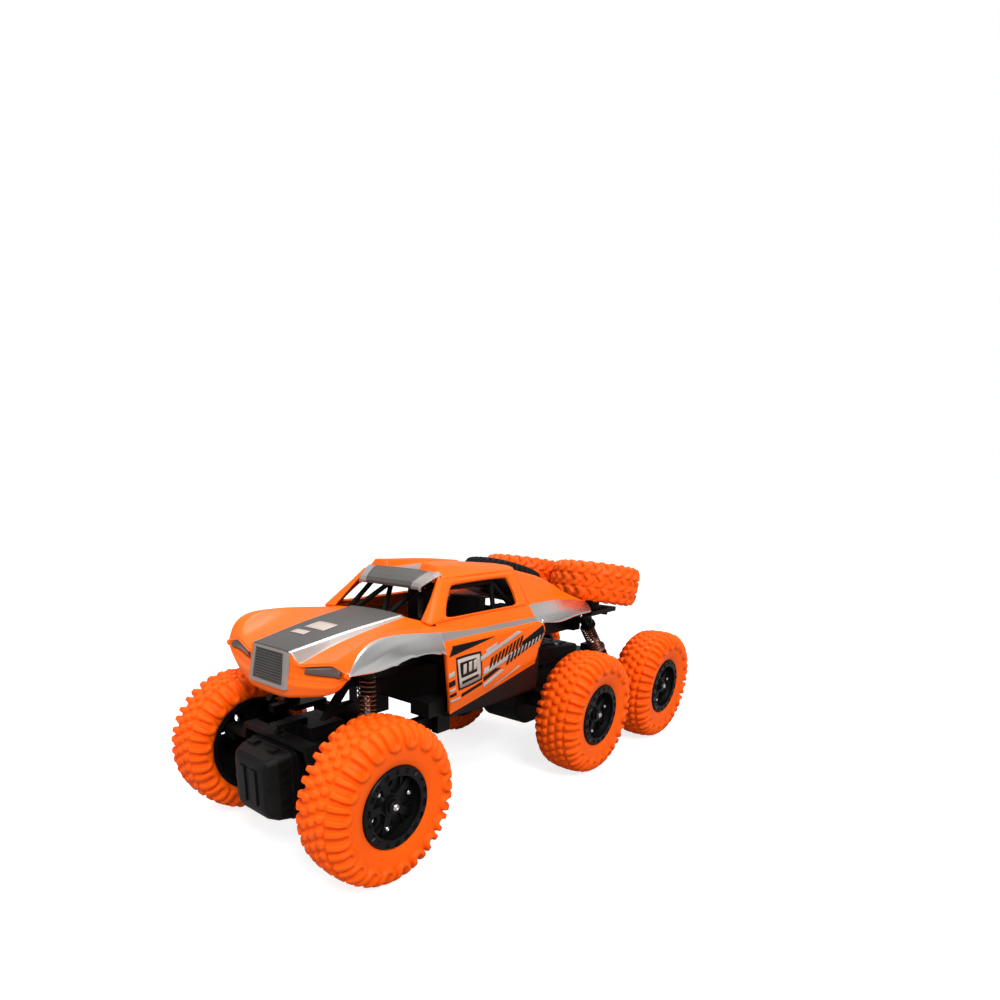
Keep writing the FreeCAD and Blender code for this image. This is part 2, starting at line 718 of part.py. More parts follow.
def make_chassis_frame():
    half = dim("tub_half")
    low = dim("tub_low")
    top = dim("tub_top")
    front = dim("tub_front")
    back = dim("tub_back")
    deck = dim("deck_low")
    deck_top = deck + dim("deck_thick")
    tub = subtract("tub_walls", box((-half, front, low), (half, back, top)),
                   [box((as_size(2.5) - half, front + 2.5, low + 2.5), (half - 2.5, back - 2.5, top + 1))])
    solids = [tub,
              box((-24, -140, deck), (24, front + 1, deck_top)),
              box((-24, back - 1, deck), (24, 80, deck_top)),
              box((-6, -147.6, deck), (6, -139, deck + 8)),
              bar("z", (0, 21), 6, deck_top - 0.5, 103)]
    holes = [box((-27, -52, low - 1), (27, -2, low + 3)), box((-5, 5, low - 1), (5, 9, low + 3))]
    holes += [screw_recess(x, y) for x, y in TUB_SCREWS]
    for side in SIDES.values():
        for x in (17.2, 27.4):
            lug = side_span(x, x + 4.4, side)
            solids.append(box((lug[0], front + 1, dim("front_hinge_z") - 5), (lug[1], front + 11, low + 1)))
            solids.append(box((lug[0], 0, dim("rear_hinge_z") - 6), (lug[1], 10, low + 1)))
        pin = side_span(17.2, 31.8, side)
        solids.append(bar("x", (dim("front_hinge_y"), dim("front_hinge_z")), 2, pin[0], pin[1]))
        solids.append(bar("x", (dim("rear_hinge_y"), dim("rear_hinge_z")), 2, pin[0], pin[1]))
        tower = side_span(22.5, 27.4, side)
        solids.append(box((tower[0], -126, deck), (tower[1], -118, 99.5)))
        tower = side_span(22.5, 28.6, side)
        solids.append(box((tower[0], 67.5, deck), (tower[1], 75.5, 95)))
        sill_x = side_span(40.5, 44, side)[0].value
        solids.append(shaped("sill", prism([(sill_x, -77, 61), (sill_x, -77, 62.5), (sill_x, 4, 81),
                                            (sill_x, 4, 63)], (3.5, 0, 0))))
        bracket = side_span(28, 41, side)
        solids.append(box((bracket[0], -88, 62), (bracket[1], front + 1, 70)))
        solids.append(make_stay(side))
        tie = side_span(half - 0.5, 41, side)
        for y in (-66, -8):
            solids.append(box((tie[0], y, 64), (tie[1], y + 8, 70)))
        solids.append(bar("x", (dim("front_shock_y"), dim("front_shock_top")), dim("shock_pin_radius"),
                          *side_span(27, 37.5, side)))
        solids.append(bar("x", (dim("rear_shock_top_y"), dim("rear_shock_top_z")), dim("shock_pin_radius"),
                          *side_span(28, 39.5, side)))
    subtract("chassis_frame", join("chassis_blank", solids), holes)


def make_electrics():
    low = dim("tub_low")
    door = [box((-26.8, -51.8, low), (26.8, -2.2, low + 2.4)),
            box((-4, -2.6, low + 0.2), (4, -2.0, low + 1.8))]
    subtract("battery_door", join("door_blank", door), [screw_recess(*DOOR_SCREW)])
    cells = []
    for x in (-21.3, -7.1, 7.1, 21.3):
        cells.append(bar("y", (x, low + 9.9), 7.0, -51, -2.5))
        cells.append(bar("y", (x, low + 9.9), 2.6, -52.2, -51))
    join("battery_cells", cells)
    board = [box((-22, -62, low + 19), (22, -12, low + 20.6)),
             box((-12, -50, low + 20.6), (-2, -40, low + 22.8)),
             box((4, -34, low + 20.6), (13, -27, low + 23)),
             bar("z", (10, -48), 3.2, low + 20.6, low + 25)]
    join("circuit_board", board)
    slider = [box((-4.6, 5.4, low - 1.2), (-0.8, 8.6, low + 3)), box((-8, 4, low + 2.7), (2.6, 9.3, low + 4))]
    join("power_switch", slider)


def make_cockpit():
    """Moulded interior: floor, dashboard, two seats and a rear bulkhead."""
    solids = [box((-37, -74, 88), (37, -8, 90)), box((-34, -74, 89), (34, -66, 104)),
              box((-33, -14, 89), (33, -10, 108))]
    for x in (-17, 17):
        solids.append(box((x - 11, -50, 89), (x + 11, -30, 95)))
        solids.append(box((x - 11, -34, 89), (x + 11, -29, 116)))
    join("cockpit_tub", solids)


def rod_between(start, end, radius):
    start = FreeCAD.Vector(*start)
    run = FreeCAD.Vector(*end) - start
    return Part.makeCylinder(radius, run.Length, start, run).fuse(Part.makeSphere(radius, start))


def make_roll_cage():
    """Tube frame inside the cab, with two inverted V braces behind the windscreen opening."""
    tubes = []
    for side in SIDES.values():
        apex = (11 * side, -63.5, 124)
        tubes += [((24.5 * side, -77.5, 110), apex), ((2.5 * side, -77.5, 110), apex)]
        hoop_top = (27 * side, -24, 124)
        tubes += [((33 * side, -24, 91.5), hoop_top), (hoop_top, (27 * side, -62, 124)),
                  (hoop_top, (31 * side, -9.5, 109.8)), ((27 * side, -62, 124), (34.5 * side, -77, 106.5))]
    tubes.append(((-27, -24, 124), (27, -24, 124)))
    tubes.append(((-27, -62, 124), (27, -62, 124)))
    cage = rod_between(*tubes[0], 1.4)
    for start, end in tubes[1:]:
        cage = cage.fuse(rod_between(start, end, 1.4))
    shaped("roll_cage", cage)


# ---- body shell ----

# Half sections of the shell from the centre line out and down to the lower edge, as (x, z).
SHELL_STATIONS = [
    (-150.0, [(0, 102.6), (15, 102.2), (17, 99.5), (18.5, 96), (18.5, 90), (16, 84)]),
    (-142.0, [(0, 104.8), (18, 104), (28, 103.2), (42, 101), (45.5, 97.5), (39, 89)]),
    (-125.0, [(0, 108.2), (19.5, 107.4), (31, 106.6), (45, 110), (50, 106), (52, 96)]),
    (-106.0, [(0, 110.6), (20.3, 109.8), (32, 108.6), (43.5, 111.2), (49, 107.5), (51.3, 98.2)]),
    (-88.0, [(0, 112.2), (20.8, 111.4), (36, 110), (43, 109.6), (48.5, 104.5), (50, 96)]),
    (-83.0, [(0, 113.6), (22, 113), (37, 110.6), (42.5, 109.6), (48, 102), (49, 80)]),
    (-77.0, [(0, 119.4), (24, 118.8), (35, 116.4), (41.5, 111), (48, 99), (46.4, 61.5)]),
    (-64.0, [(0, 131.6), (23, 131.2), (28.5, 128.6), (41, 111), (48, 98), (46.4, 64)]),
    (-5.0, [(0, 131.6), (23, 131.2), (28.5, 127.8), (41.5, 109.6), (48.4, 96), (46.6, 84)]),
]


def closed_section(y, half_points):
    right = [(-x, z) for x, z in reversed(half_points) if x > 0]
    points = [FreeCAD.Vector(x, y, z) for x, z in half_points + right]
    return Part.makePolygon(points + points[:1])


def inset_points(half_points, wall):
    """Section of the hollow inside, carried below the lower edge so that the shell is open underneath."""
    offsets = [(0, 1), (0.5, 1), (0.8, 1), (1, 0.8), (1, 0.4), (1, 6)]
    return [(max(x - wall * dx, 0), z - wall * dz) for (x, z), (dx, dz) in zip(half_points, offsets)]


def prism(points, direction):
    vectors = [FreeCAD.Vector(*point) for point in points]
    return Part.Face(Part.makePolygon(vectors + vectors[:1])).extrude(FreeCAD.Vector(*direction))


def rear_flank(side):
    """Buttress and rear wing over the middle wheel, as a thin bent panel."""
    stations = [(-8.0, (28, 127.2), (40.8, 109.6), (45.6, 97.2)), (22.0, (30, 123), (38.6, 110), (45.5, 97)),
                (50.0, (34, 109), (38.2, 107.3), (43, 97)), (66.0, (36, 104), (38.4, 102.6), (42, 97)),
                (77.0, (38, 100), (39, 99.2), (40.4, 97))]
    wires = []
    for y, top, middle, low in stations:
        inner = [(low[0] - 2, low[1]), (middle[0] - 2.2, middle[1] - 1.6), (top[0] - 2.2, top[1] - 0.4)]
        points = [FreeCAD.Vector(x * side, y, z) for x, z in [top, middle, low] + inner]
        wires.append(Part.makePolygon(points + points[:1]))
    return Part.makeLoft(wires, True, True)


def roof_scoop(side):
    """Raised air scoop that runs back along the roof as a rib."""
    x = side_span(15, 24, side)[0].value
    return prism([(x, -66.8, 129.8), (x, -66.4, 136.8), (x, -58, 136.4), (x, -38, 132.4), (x, -38, 131),
                  (x, -63.5, 130.4)], (9, 0, 0))


def make_body_shell():
    wall = dim("shell_wall").value
    outer = Part.makeLoft([closed_section(y, points) for y, points in SHELL_STATIONS], True, True)
    inner_stations = [(y, inset_points(points, wall)) for y, points in SHELL_STATIONS]
    first_y, first_points = inner_stations[0]
    last_y, last_points = inner_stations[-1]
    inner_stations[0] = (first_y + wall, first_points)
    inner_stations[-1] = (last_y - wall, last_points)
    inner = Part.makeLoft([closed_section(y, points) for y, points in inner_stations], True, True)
    shell = outer.cut(inner)
    windscreen = prism([(-31, -92, 114), (31, -92, 114), (21.5, -92, 128.2), (-21.5, -92, 128.2)], (0, 27, 0))
    side_windows = prism([(-60, -74, 112.6), (-60, -16, 112.6), (-60, -16, 125.6), (-60, -62, 125.6)],
                         (120, 0, 0))
    rear_window = prism([(-24, -9, 100), (24, -9, 100), (21, -9, 127), (-21, -9, 127)], (0, 6, 0))
    tub_passage = prism([(-42.8, -9, 50), (42.8, -9, 50), (42.8, -9, 96), (-42.8, -9, 96)], (0, 6, 0))
    for opening in (windscreen, side_windows, rear_window, tub_passage):
        shell = shell.cut(opening)
    for side in SIDES.values():
        shell = shell.fuse(rear_flank(side)).fuse(roof_scoop(side))
    shaped("body_shell", shell.removeSplitter())


def make_nose_and_roof_trim():
    nose = [closed_section(y, [(0, top), (half, top), (half - 1.5, low)])
            for y, half, top, low in ((-155.4, 13.9, 98.0, 84.0), (-150.1, 15.4, 102.2, 84.0))]
    shaped("grille_insert", Part.makeLoft(nose, True, True))

    brow = prism([(-24, -76.4, 124.6), (-24, -76.4, 126.8), (-24, -67.1, 131.8), (-24, -67.1, 130.1)],
                 (48, 0, 0))
    tongue = prism([(-14.8, -76.4, 124.6), (-14.8, -76.4, 126.8), (-14.8, -64.5, 133.2), (-14.8, -46, 133.4),
                    (-14.8, -46, 131.75), (-14.8, -64.2, 131.75)], (29.6, 0, 0))
    visor = brow.fuse(tongue)
    shaped("sun_visor", visor)

    lenses = []
    for side in SIDES.values():
        lens = Part.makeBox(15, 1.6, 4.6, FreeCAD.Vector(-7.5, -0.8, -2.3))
        lens.rotate(FreeCAD.Vector(0, 0, 0), FreeCAD.Vector(0, 0, 1), 16.5 * side)
        lens.translate(FreeCAD.Vector(32.5 * side, -148.2, 95.6))
        lenses.append(lens)
    shaped("headlights", Part.makeCompound(lenses))


# ---- spare wheels and rear deck ----

def make_spares():
    radius = dim("spare_radius")
    half = dim("spare_half_width")
    bore = dim("spare_bore")
    tilt = -dim("spare_tilt").value
    spares = [("spare_tyre_left", dim("spare_x"), dim("spare_y"), dim("spare_z"), radius, half, bore, tilt),
              ("spare_tyre_right", -dim("spare_x"), dim("spare_y"), dim("spare_z"), radius, half, bore, tilt),
              ("spare_tyre_centre", as_size(0), as_size(21), as_size(118.5), as_size(25), as_size(9.5),
               as_size(10), -19.0)]
    for label, x, y, z, outer, half_width, hole, tilt in spares:
        body = new_body(label)
        sketch = new_sketch(body, "XZ_Plane")
        draw_polygon(sketch, [
            (outer - 4.5, -half_width), (outer, -half_width + 3.5), (outer, half_width - 3.5),
            (outer - 4.5, half_width), (hole + 3, half_width - 1), (hole, half_width - 2.5),
            (hole, -half_width + 2.5), (hole + 3, -half_width + 1)])
        turned = body.newObject("PartDesign::Revolution", "turned")
        turned.Profile = sketch
        turned.ReferenceAxis = (sketch, ["V_Axis"])
        turned.Angle = 360
        place(body, x, y, z, turn_axis=(1, 0, 0), turn=tilt)


def make_rear_deck():
    """Carrier plate behind the body, with a stem and a tilted spool for each spare tyre."""
    solids = [box((-36, 76.5, 93.5), (36, 110, 96.5)), box((-18, 76.5, 87), (18, 80, 94)),
              box((-30, 108, 90), (30, 110, 94))]
    half_spool = 8.0
    tilt = math.radians(dim("spare_tilt").value)
    for side in SIDES.values():
        spool = bar("z", (0, 0), dim("spare_bore") - 0.1, -half_spool, half_spool)
        place(spool, dim("spare_x") * side, dim("spare_y") - half_spool * math.sin(tilt),
              dim("spare_z") - half_spool * math.cos(tilt), turn_axis=(1, 0, 0), turn=-math.degrees(tilt))
        solids += [spool, bar("z", (dim("spare_x") * side, dim("spare_y")), 5, 96, 110)]
    join("rear_deck", solids)


def make_body_screws():
    """Screw heads: recessed ones in the underside and the battery door, and two on the rear deck."""
    low = dim("tub_low")
    screws = [bar("z", place_xy, 1.8, low + 0.1, low + 1.4) for place_xy in TUB_SCREWS + [DOOR_SCREW]]
    for x in (-14, 14):
        screws.append(bar("z", (x, 100), 2, 96.5, 97.7))
    join("body_screws", screws)


# ---- checking and writing ----

NODES = (
    ["tyre_%s_%s" % (station, side) for station in WHEEL_STATIONS for side in SIDES]
    + ["rim_%s_%s" % (station, side) for station in WHEEL_STATIONS for side in SIDES]
    + ["stub_axle_left", "stub_axle_right", "middle_axle_shaft", "rear_axle_shaft",
       "middle_axle_gear", "rear_axle_gear", "bogie_idler_front", "bogie_idler_centre", "bogie_idler_rear",
       "bogie_motor", "bogie_motor_pinion", "bogie_case_left", "bogie_case_right",
       "front_drive_gear", "front_drive_shaft", "front_motor", "front_motor_pinion",
       "front_housing_front", "front_housing_rear", "knuckle_left", "knuckle_right", "tie_rod",
       "steering_servo", "steering_horn", "front_arm", "rear_arm",
       "front_shock_bodies", "front_shock_rods", "front_springs",
       "rear_shock_bodies", "rear_shock_rods", "rear_springs",
       "chassis_frame", "battery_door", "battery_cells", "circuit_board", "power_switch",
       "cockpit_tub", "roll_cage", "body_shell", "grille_insert", "sun_visor", "headlights",
       "spare_tyre_left", "spare_tyre_right", "spare_tyre_centre", "rear_deck", "body_screws"])


def check_document():
    for thing in doc.Objects:
        if "Invalid" in thing.State or "Error" in thing.State:
            raise RuntimeError("%s (%s) failed to rebuild" % (thing.Label, thing.Name))


def write_nodes():
    os.makedirs("parts", exist_ok=True)
    for node in NODES:
        found = doc.getObjectsByLabel(node)
        if len(found) != 1:
            raise RuntimeError("%d objects are labelled %s" % (len(found), node))
        shape = found[0].Shape
        if shape.isNull() or not shape.isValid() or not shape.Solids:
            raise RuntimeError(node + " has no valid solid")
        shape.exportStep("parts/%s.step" % node)


fill_sheet()
make_wheels()
make_front_gears()
make_bogie_gears()
make_front_housing()
for side_name in SIDES:
    make_knuckle(side_name)
    make_bogie_case(side_name)
make_tie_rod()
make_steering_servo()
make_front_arm()
make_rear_arm()
make_shocks("front", dim("front_shock_x"), dim("front_shock_y"), dim("front_shock_top"),
            dim("front_shock_y"), dim("front_shock_low"), 6)
make_shocks("rear", dim("rear_shock_x"), dim("rear_shock_top_y"), dim("rear_shock_top_z"),
            dim("rear_shock_low_y"), dim("rear_shock_low_z"), 7)
make_chassis_frame()
make_electrics()
make_cockpit()
make_roll_cage()
make_body_shell()
make_nose_and_roof_trim()
make_spares()
make_rear_deck()
make_body_screws()
doc.recompute()
check_document()
write_nodes()
print("wrote", len(NODES), "nodes")
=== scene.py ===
import math

import bmesh
import bpy
import numpy as np
from mathutils import Matrix, Quaternion, Vector
from mathutils.bvhtree import BVHTree


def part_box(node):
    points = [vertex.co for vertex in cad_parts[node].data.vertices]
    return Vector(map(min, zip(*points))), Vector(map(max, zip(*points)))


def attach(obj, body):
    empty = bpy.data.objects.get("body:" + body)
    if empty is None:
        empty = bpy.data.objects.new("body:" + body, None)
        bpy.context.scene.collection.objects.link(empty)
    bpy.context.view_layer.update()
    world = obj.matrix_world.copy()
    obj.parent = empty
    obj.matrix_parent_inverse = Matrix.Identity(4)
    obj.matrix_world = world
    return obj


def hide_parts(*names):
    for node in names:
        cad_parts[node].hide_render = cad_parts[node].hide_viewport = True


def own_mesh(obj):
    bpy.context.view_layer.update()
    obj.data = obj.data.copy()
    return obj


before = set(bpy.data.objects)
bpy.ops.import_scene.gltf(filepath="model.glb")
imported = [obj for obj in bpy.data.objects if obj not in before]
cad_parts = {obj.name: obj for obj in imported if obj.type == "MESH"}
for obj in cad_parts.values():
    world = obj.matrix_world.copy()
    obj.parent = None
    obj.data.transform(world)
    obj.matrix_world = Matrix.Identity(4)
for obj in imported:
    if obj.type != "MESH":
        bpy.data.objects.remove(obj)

# The looks of a six-wheel toy rock crawler. Metres; +X is the truck's left, +Y its rear.
# Shapes are written in millimetres and scaled by MM when their mesh is made.

MM = 0.001
MICRON = 0.000001
STATIONS = ("front", "middle", "rear")
SIDES = {"left": 1, "right": -1}
CAMERA_PLACE = Vector((0.2494, -0.3115, 0.1681))
CAMERA_FORWARD = Vector((-0.6469, 0.6864, -0.3322))
CAMERA_ROLL = math.radians(0.62)
CAMERA_LENS = 0.638  # focal length as a share of the sensor's width
SKY_LOW, SKY_HIGH = 0.16, 0.72
FLOOR_GLOW = 0.8
LIGHT_TARGET = Vector((0, 0, 0.05))
WHEEL_BODY = {"middle": "middle_axle", "rear": "rear_axle"}
STILL = Matrix.Identity(4)
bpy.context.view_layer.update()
scene = bpy.context.scene


# ---- materials ----

class Recipe:
    """Adds nodes to one material or world and links them."""

    def __init__(self, owner, shader="Principled BSDF"):
        self.owner = owner
        owner.use_nodes = True
        self.nodes = owner.node_tree.nodes
        self.links = owner.node_tree.links
        self.shader = self.nodes[shader]
        self.places = self.add("ShaderNodeTexCoord").outputs

    def add(self, kind, **inputs):
        node = self.nodes.new(kind)
        for name, value in inputs.items():
            socket = node.inputs[name.replace("_", " ").title()]
            if isinstance(value, bpy.types.NodeSocket):
                self.links.new(value, socket)
            else:
                socket.default_value = value
        return node

    def noise(self, scale, detail=3.0, stretch=None):
        place = self.places["Object"]
        if stretch:
            place = self.add("ShaderNodeMapping", vector=place, scale=stretch).outputs["Vector"]
        return self.add("ShaderNodeTexNoise", vector=place, scale=scale, detail=detail).outputs["Fac"]

    def ramp(self, factor, stops):
        node = self.add("ShaderNodeValToRGB", fac=factor)
        elements = node.color_ramp.elements
        while len(elements) < len(stops):
            elements.new(0.5)
        for element, (position, colour) in zip(elements, stops):
            element.position = position
            element.color = (*colour, 1)
        return node.outputs["Color"]

    def spread(self, factor, low, high):
        return self.add("ShaderNodeMapRange", value=factor, to_min=low, to_max=high).outputs["Result"]

    def bump(self, height, distance):
        return self.add("ShaderNodeBump", height=height, strength=0.5, distance=distance).outputs["Normal"]

    def connect(self, output, name):
        self.links.new(output, self.shader.inputs[name])

    def constant(self, **values):
        for name, value in values.items():
            self.shader.inputs[name.replace("_", " ")].default_value = value


def shade(colour, factor):
    return tuple(min(channel * factor, 1.0) for channel in colour)


def moulded(name, colour, roughness, grain, depth, spread, metallic=0.0, coat=0.0, worn=None, specular=0.2):
    """Moulded or painted: cloudy colour, fine grain (depth in microns), patchy gloss, rubbed marks."""
    recipe = Recipe(bpy.data.materials.new(name))
    cloud = recipe.noise(28.0, 4.0)
    darker, lighter = shade(colour, 1 - spread), shade(colour, 1 + spread)
    base = recipe.ramp(cloud, [(0.25, darker), (0.55, colour), (0.85, lighter)])
    rub = recipe.noise(60.0, 6.0, stretch=(1.0, 0.25, 1.0))
    mask = recipe.ramp(rub, [(0.60, (0, 0, 0)), (0.74, (1, 1, 1))])
    mix = recipe.add("ShaderNodeMix")
    mix.data_type = "RGBA"
    recipe.links.new(recipe.spread(mask, 0.0, 0.28), mix.inputs["Factor"])
    recipe.links.new(base, mix.inputs["A"])
    mix.inputs["B"].default_value = (*(worn or shade(colour, 1.35)), 1)
    recipe.connect(mix.outputs["Result"], "Base Color")
    patch = recipe.noise(45.0, 5.0)
    recipe.connect(recipe.spread(patch, roughness * 0.75, min(roughness * 1.3, 1.0)), "Roughness")
    recipe.connect(recipe.bump(recipe.noise(grain, 2.0), depth * MICRON), "Normal")
    recipe.constant(Metallic=metallic, Coat_Weight=coat, Specular_IOR_Level=specular)
    return recipe.owner


def brushed(name, colour, roughness=0.3, stretch=(1.0, 30.0, 30.0)):
    """Bare metal with fine drawn lines and dull patches."""
    recipe = Recipe(bpy.data.materials.new(name))
    lines = recipe.noise(90.0, 3.0, stretch=stretch)
    recipe.connect(recipe.ramp(lines, [(0.3, shade(colour, 0.72)), (0.7, shade(colour, 1.1))]), "Base Color")
    recipe.connect(recipe.spread(recipe.noise(200.0), roughness * 0.7, roughness * 1.5), "Roughness")
    recipe.connect(recipe.bump(lines, 30 * MICRON), "Normal")
    recipe.constant(Metallic=1.0)
    return recipe.owner


WORN_BLACK = (0.015, 0.015, 0.015)
PAINT_ORANGE = moulded("paint_orange", (0.98, 0.135, 0.0004), 0.32, 500, 20, 0.04, coat=0.05)
TYRE_ORANGE = moulded("tyre_orange", (1.0, 0.112, 0.0003), 0.5, 1400, 60, 0.08, specular=0.14)
SPARE_ORANGE = moulded("spare_orange", (0.99, 0.108, 0.0004), 0.42, 1200, 50, 0.08, specular=0.16)
SILVER = moulded("paint_silver", (0.80, 0.79, 0.77), 0.27, 700, 20, 0.06, metallic=1.0)
GREY = moulded("paint_grey", (0.105, 0.099, 0.093), 0.42, 700, 30, 0.12, metallic=0.35)
GREY_LIGHT = moulded("paint_grey_light", (0.34, 0.30, 0.28), 0.38, 700, 30, 0.10, metallic=0.35)
BLACK = moulded("black_plastic", (0.0048, 0.0045, 0.0044), 0.42, 800, 50, 0.3, worn=WORN_BLACK, specular=0.13)
RIM_BLACK = moulded("rim_black", (0.004, 0.004, 0.0042), 0.36, 800, 40, 0.3, worn=WORN_BLACK, specular=0.13)
BLACK_RUBBER = moulded("black_rubber", (0.005, 0.005, 0.0055), 0.55, 1200, 80, 0.25, specular=0.1)
DECAL_BLACK = moulded("decal_black", (0.006, 0.005, 0.0045), 0.36, 600, 10, 0.2, worn=(0.05, 0.03, 0.02),
                      specular=0.12)
DECAL_PALE = moulded("decal_pale", (0.52, 0.43, 0.39), 0.34, 600, 10, 0.12)
NYLON = moulded("gear_nylon", (0.62, 0.60, 0.52), 0.5, 600, 40, 0.08)
BOARD = moulded("board_green", (0.015, 0.12, 0.04), 0.45, 400, 60, 0.3)
BATTERY = moulded("battery_wrap", (0.05, 0.12, 0.07), 0.35, 400, 30, 0.2)
LENS = moulded("lens_smoke", (0.13, 0.10, 0.095), 0.25, 300, 20, 0.12, metallic=0.2, coat=0.3)
STEEL = brushed("steel", (0.62, 0.60, 0.58), 0.28)
MOTOR_CAN = brushed("motor_can", (0.55, 0.55, 0.54), 0.32)
COPPER = brushed("spring_copper", (0.30, 0.12, 0.07), 0.26, (20.0, 20.0, 1.0))
BRASS = brushed("pinion_brass", (0.72, 0.52, 0.22), 0.3)


# ---- mesh helpers ----

def add_piece(name, mesh, body, replaced=()):
    """Link a mesh as a piece that rides on a body and may stand for CAD nodes."""
    piece = bpy.data.objects.new(name, mesh)
    scene.collection.objects.link(piece)
    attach(piece, body)
    if replaced:
        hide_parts(*replaced)
    return piece


def add_solid(name, bm, materials, body, replaced=(), matrix=STILL):
    """Turn a bmesh drawn in millimetres into a piece."""
    bmesh.ops.recalc_face_normals(bm, faces=bm.faces)
    mesh = bpy.data.meshes.new(name)
    bm.to_mesh(mesh)
    bm.free()
    for material in materials:
        mesh.materials.append(material)
    mesh.transform(matrix @ Matrix.Scale(MM, 4))
    return add_piece(name, mesh, body, replaced)


def mesh_from(name, vertices, faces, materials):
    mesh = bpy.data.meshes.new(name)
    mesh.from_pydata([tuple(vertex) for vertex in vertices], [], faces)
    for material in materials:
        mesh.materials.append(material)
    mesh.polygons.foreach_set("use_smooth", [True] * len(mesh.polygons))
    mesh.update()
    return mesh


def grid_faces(rows, columns, closed=False):
    """Quads of a grid of rows by columns, numbered row by row. A closed grid joins up both ways."""
    faces = []
    for row in range(rows if closed else rows - 1):
        for column in range(columns if closed else columns - 1):
            next_row = (row + 1) % rows
            next_column = (column + 1) % columns
            faces.append((row * columns + column, row * columns + next_column,
                          next_row * columns + next_column, next_row * columns + column))
    return faces


def join_rings(bm, row, after, material=0, smooth=False):
    """Quads between two closed rings of as many vertices."""
    for k in range(len(row)):
        step = (k + 1) % len(row)
        face = bm.faces.new((row[k], row[step], after[step], after[k]))
        face.material_index = material
        face.smooth = smooth


def close_tube(bm, rows, smooth=False):
    """A tube through rings of vertices, with both ends closed."""
    for row, after in zip(rows, rows[1:]):
        join_rings(bm, row, after, 0, smooth)
    bm.faces.new(rows[0])
    bm.faces.new(rows[-1][::-1])


def circle(radius, count):
    """Points (cosine, sine) times radius, evenly round a circle."""
    angles = [2 * math.pi * k / count for k in range(count)]
    return [(radius * math.cos(a), radius * math.sin(a)) for a in angles]


def spline(points, samples):
    """Catmull-Rom curve through points, sampled evenly along its chords."""
    points = np.array(points, float)
    if len(points) == 2:
        steps = np.linspace(0, 1, samples)[:, None]
        return points[0] + (points[1] - points[0]) * steps
    chords = np.linalg.norm(np.diff(points, axis=0), axis=1)
    knots = np.concatenate([[0], np.cumsum(chords)])
    slopes = np.gradient(points, knots, axis=0)
    place = np.linspace(0, knots[-1], samples)
    span = np.clip(np.searchsorted(knots, place, side="right") - 1, 0, len(knots) - 2)
    width = (knots[span + 1] - knots[span])[:, None]
    t = (place - knots[span])[:, None] / width
    start, end = points[span], points[span + 1]
    return ((2 * t ** 3 - 3 * t ** 2 + 1) * start + (t ** 3 - 2 * t ** 2 + t) * width * slopes[span]
            + (3 * t ** 2 - 2 * t ** 3) * end + (t ** 3 - t ** 2) * width * slopes[span + 1])


def outline_normals(outline, top):
    """Unit normals of an outline, with the one at index top facing away from the axle."""
    tangent = np.gradient(outline, axis=0)
    normal = np.stack([-tangent[:, 1], tangent[:, 0]], axis=1)
    normal /= np.linalg.norm(normal, axis=1)[:, None]
    return normal * np.sign(normal[top, 1])


def smooth_step(value, low, high):
    t = np.clip((value - low) / (high - low), 0, 1)
    return t * t * (3 - 2 * t)


def capsule_distance(u, v, start, end):
    """Distance in a plane from a segment along u, at v = 0."""
    along = np.clip(u, min(start, end), max(start, end))
    return np.hypot(u - along, v)


def finish_bevel(piece, width, segments=2, angle=35):
    """Soft edges, width millimetres wide."""
    bevel = piece.modifiers.new("soft_edges", "BEVEL")
    bevel.width = width * MM
    bevel.segments = segments
    bevel.limit_method = "ANGLE"
    bevel.angle_limit = math.radians(angle)


# ---- tyres ----

TREAD_REPEATS = 20
CARCASS = [(11.4, 19.6), (12.7, 22.5), (13.3, 26), (13.2, 29.5), (12.2, 32.6), (10, 34.9), (6.8, 36.4),
    (3.2, 36.9), (0, 37)]
LINING = [(-11, 26.1), (-11, 30), (-8.5, 33.6), (0, 35), (8.5, 33.6), (10.4, 29.5), (10, 24), (8.8, 19.6)]


def tyre_tread(across, along, pitch):
    """Height of the tread: rows of studs on the crown, open loops over each shoulder."""
    height = np.zeros(np.broadcast(across, along).shape)
    for side in (-1, 1):
        u = across * side
        v = (along + (0.25 if side > 0 else -0.25) * pitch) % pitch - pitch / 2
        half_width = np.minimum(4.75, pitch * 0.455)
        outer = half_width - capsule_distance(u, v, 6, 15.2)
        inner = capsule_distance(u, v, 0, 15) - 1.3
        loop = np.minimum(np.minimum(outer, inner), u - 7.6)
        height = np.maximum(height, (2.5 - 1 * smooth_step(u, 13, 20)) * smooth_step(loop, -0.1, 0.8))
    for row, shift in ((-5, 0.25), (0, 0), (5, 0.25)):
        stud_pitch = pitch / 2
        v = (along + shift * pitch) % stud_pitch - stud_pitch / 2
        u = across - row
        block = 2.35 - (np.abs(u) ** 2.6 + np.abs(v) ** 2.6) ** (1 / 2.6)
        height = np.maximum(height, 2 * smooth_step(block, -0.1, 1.1))
    return height


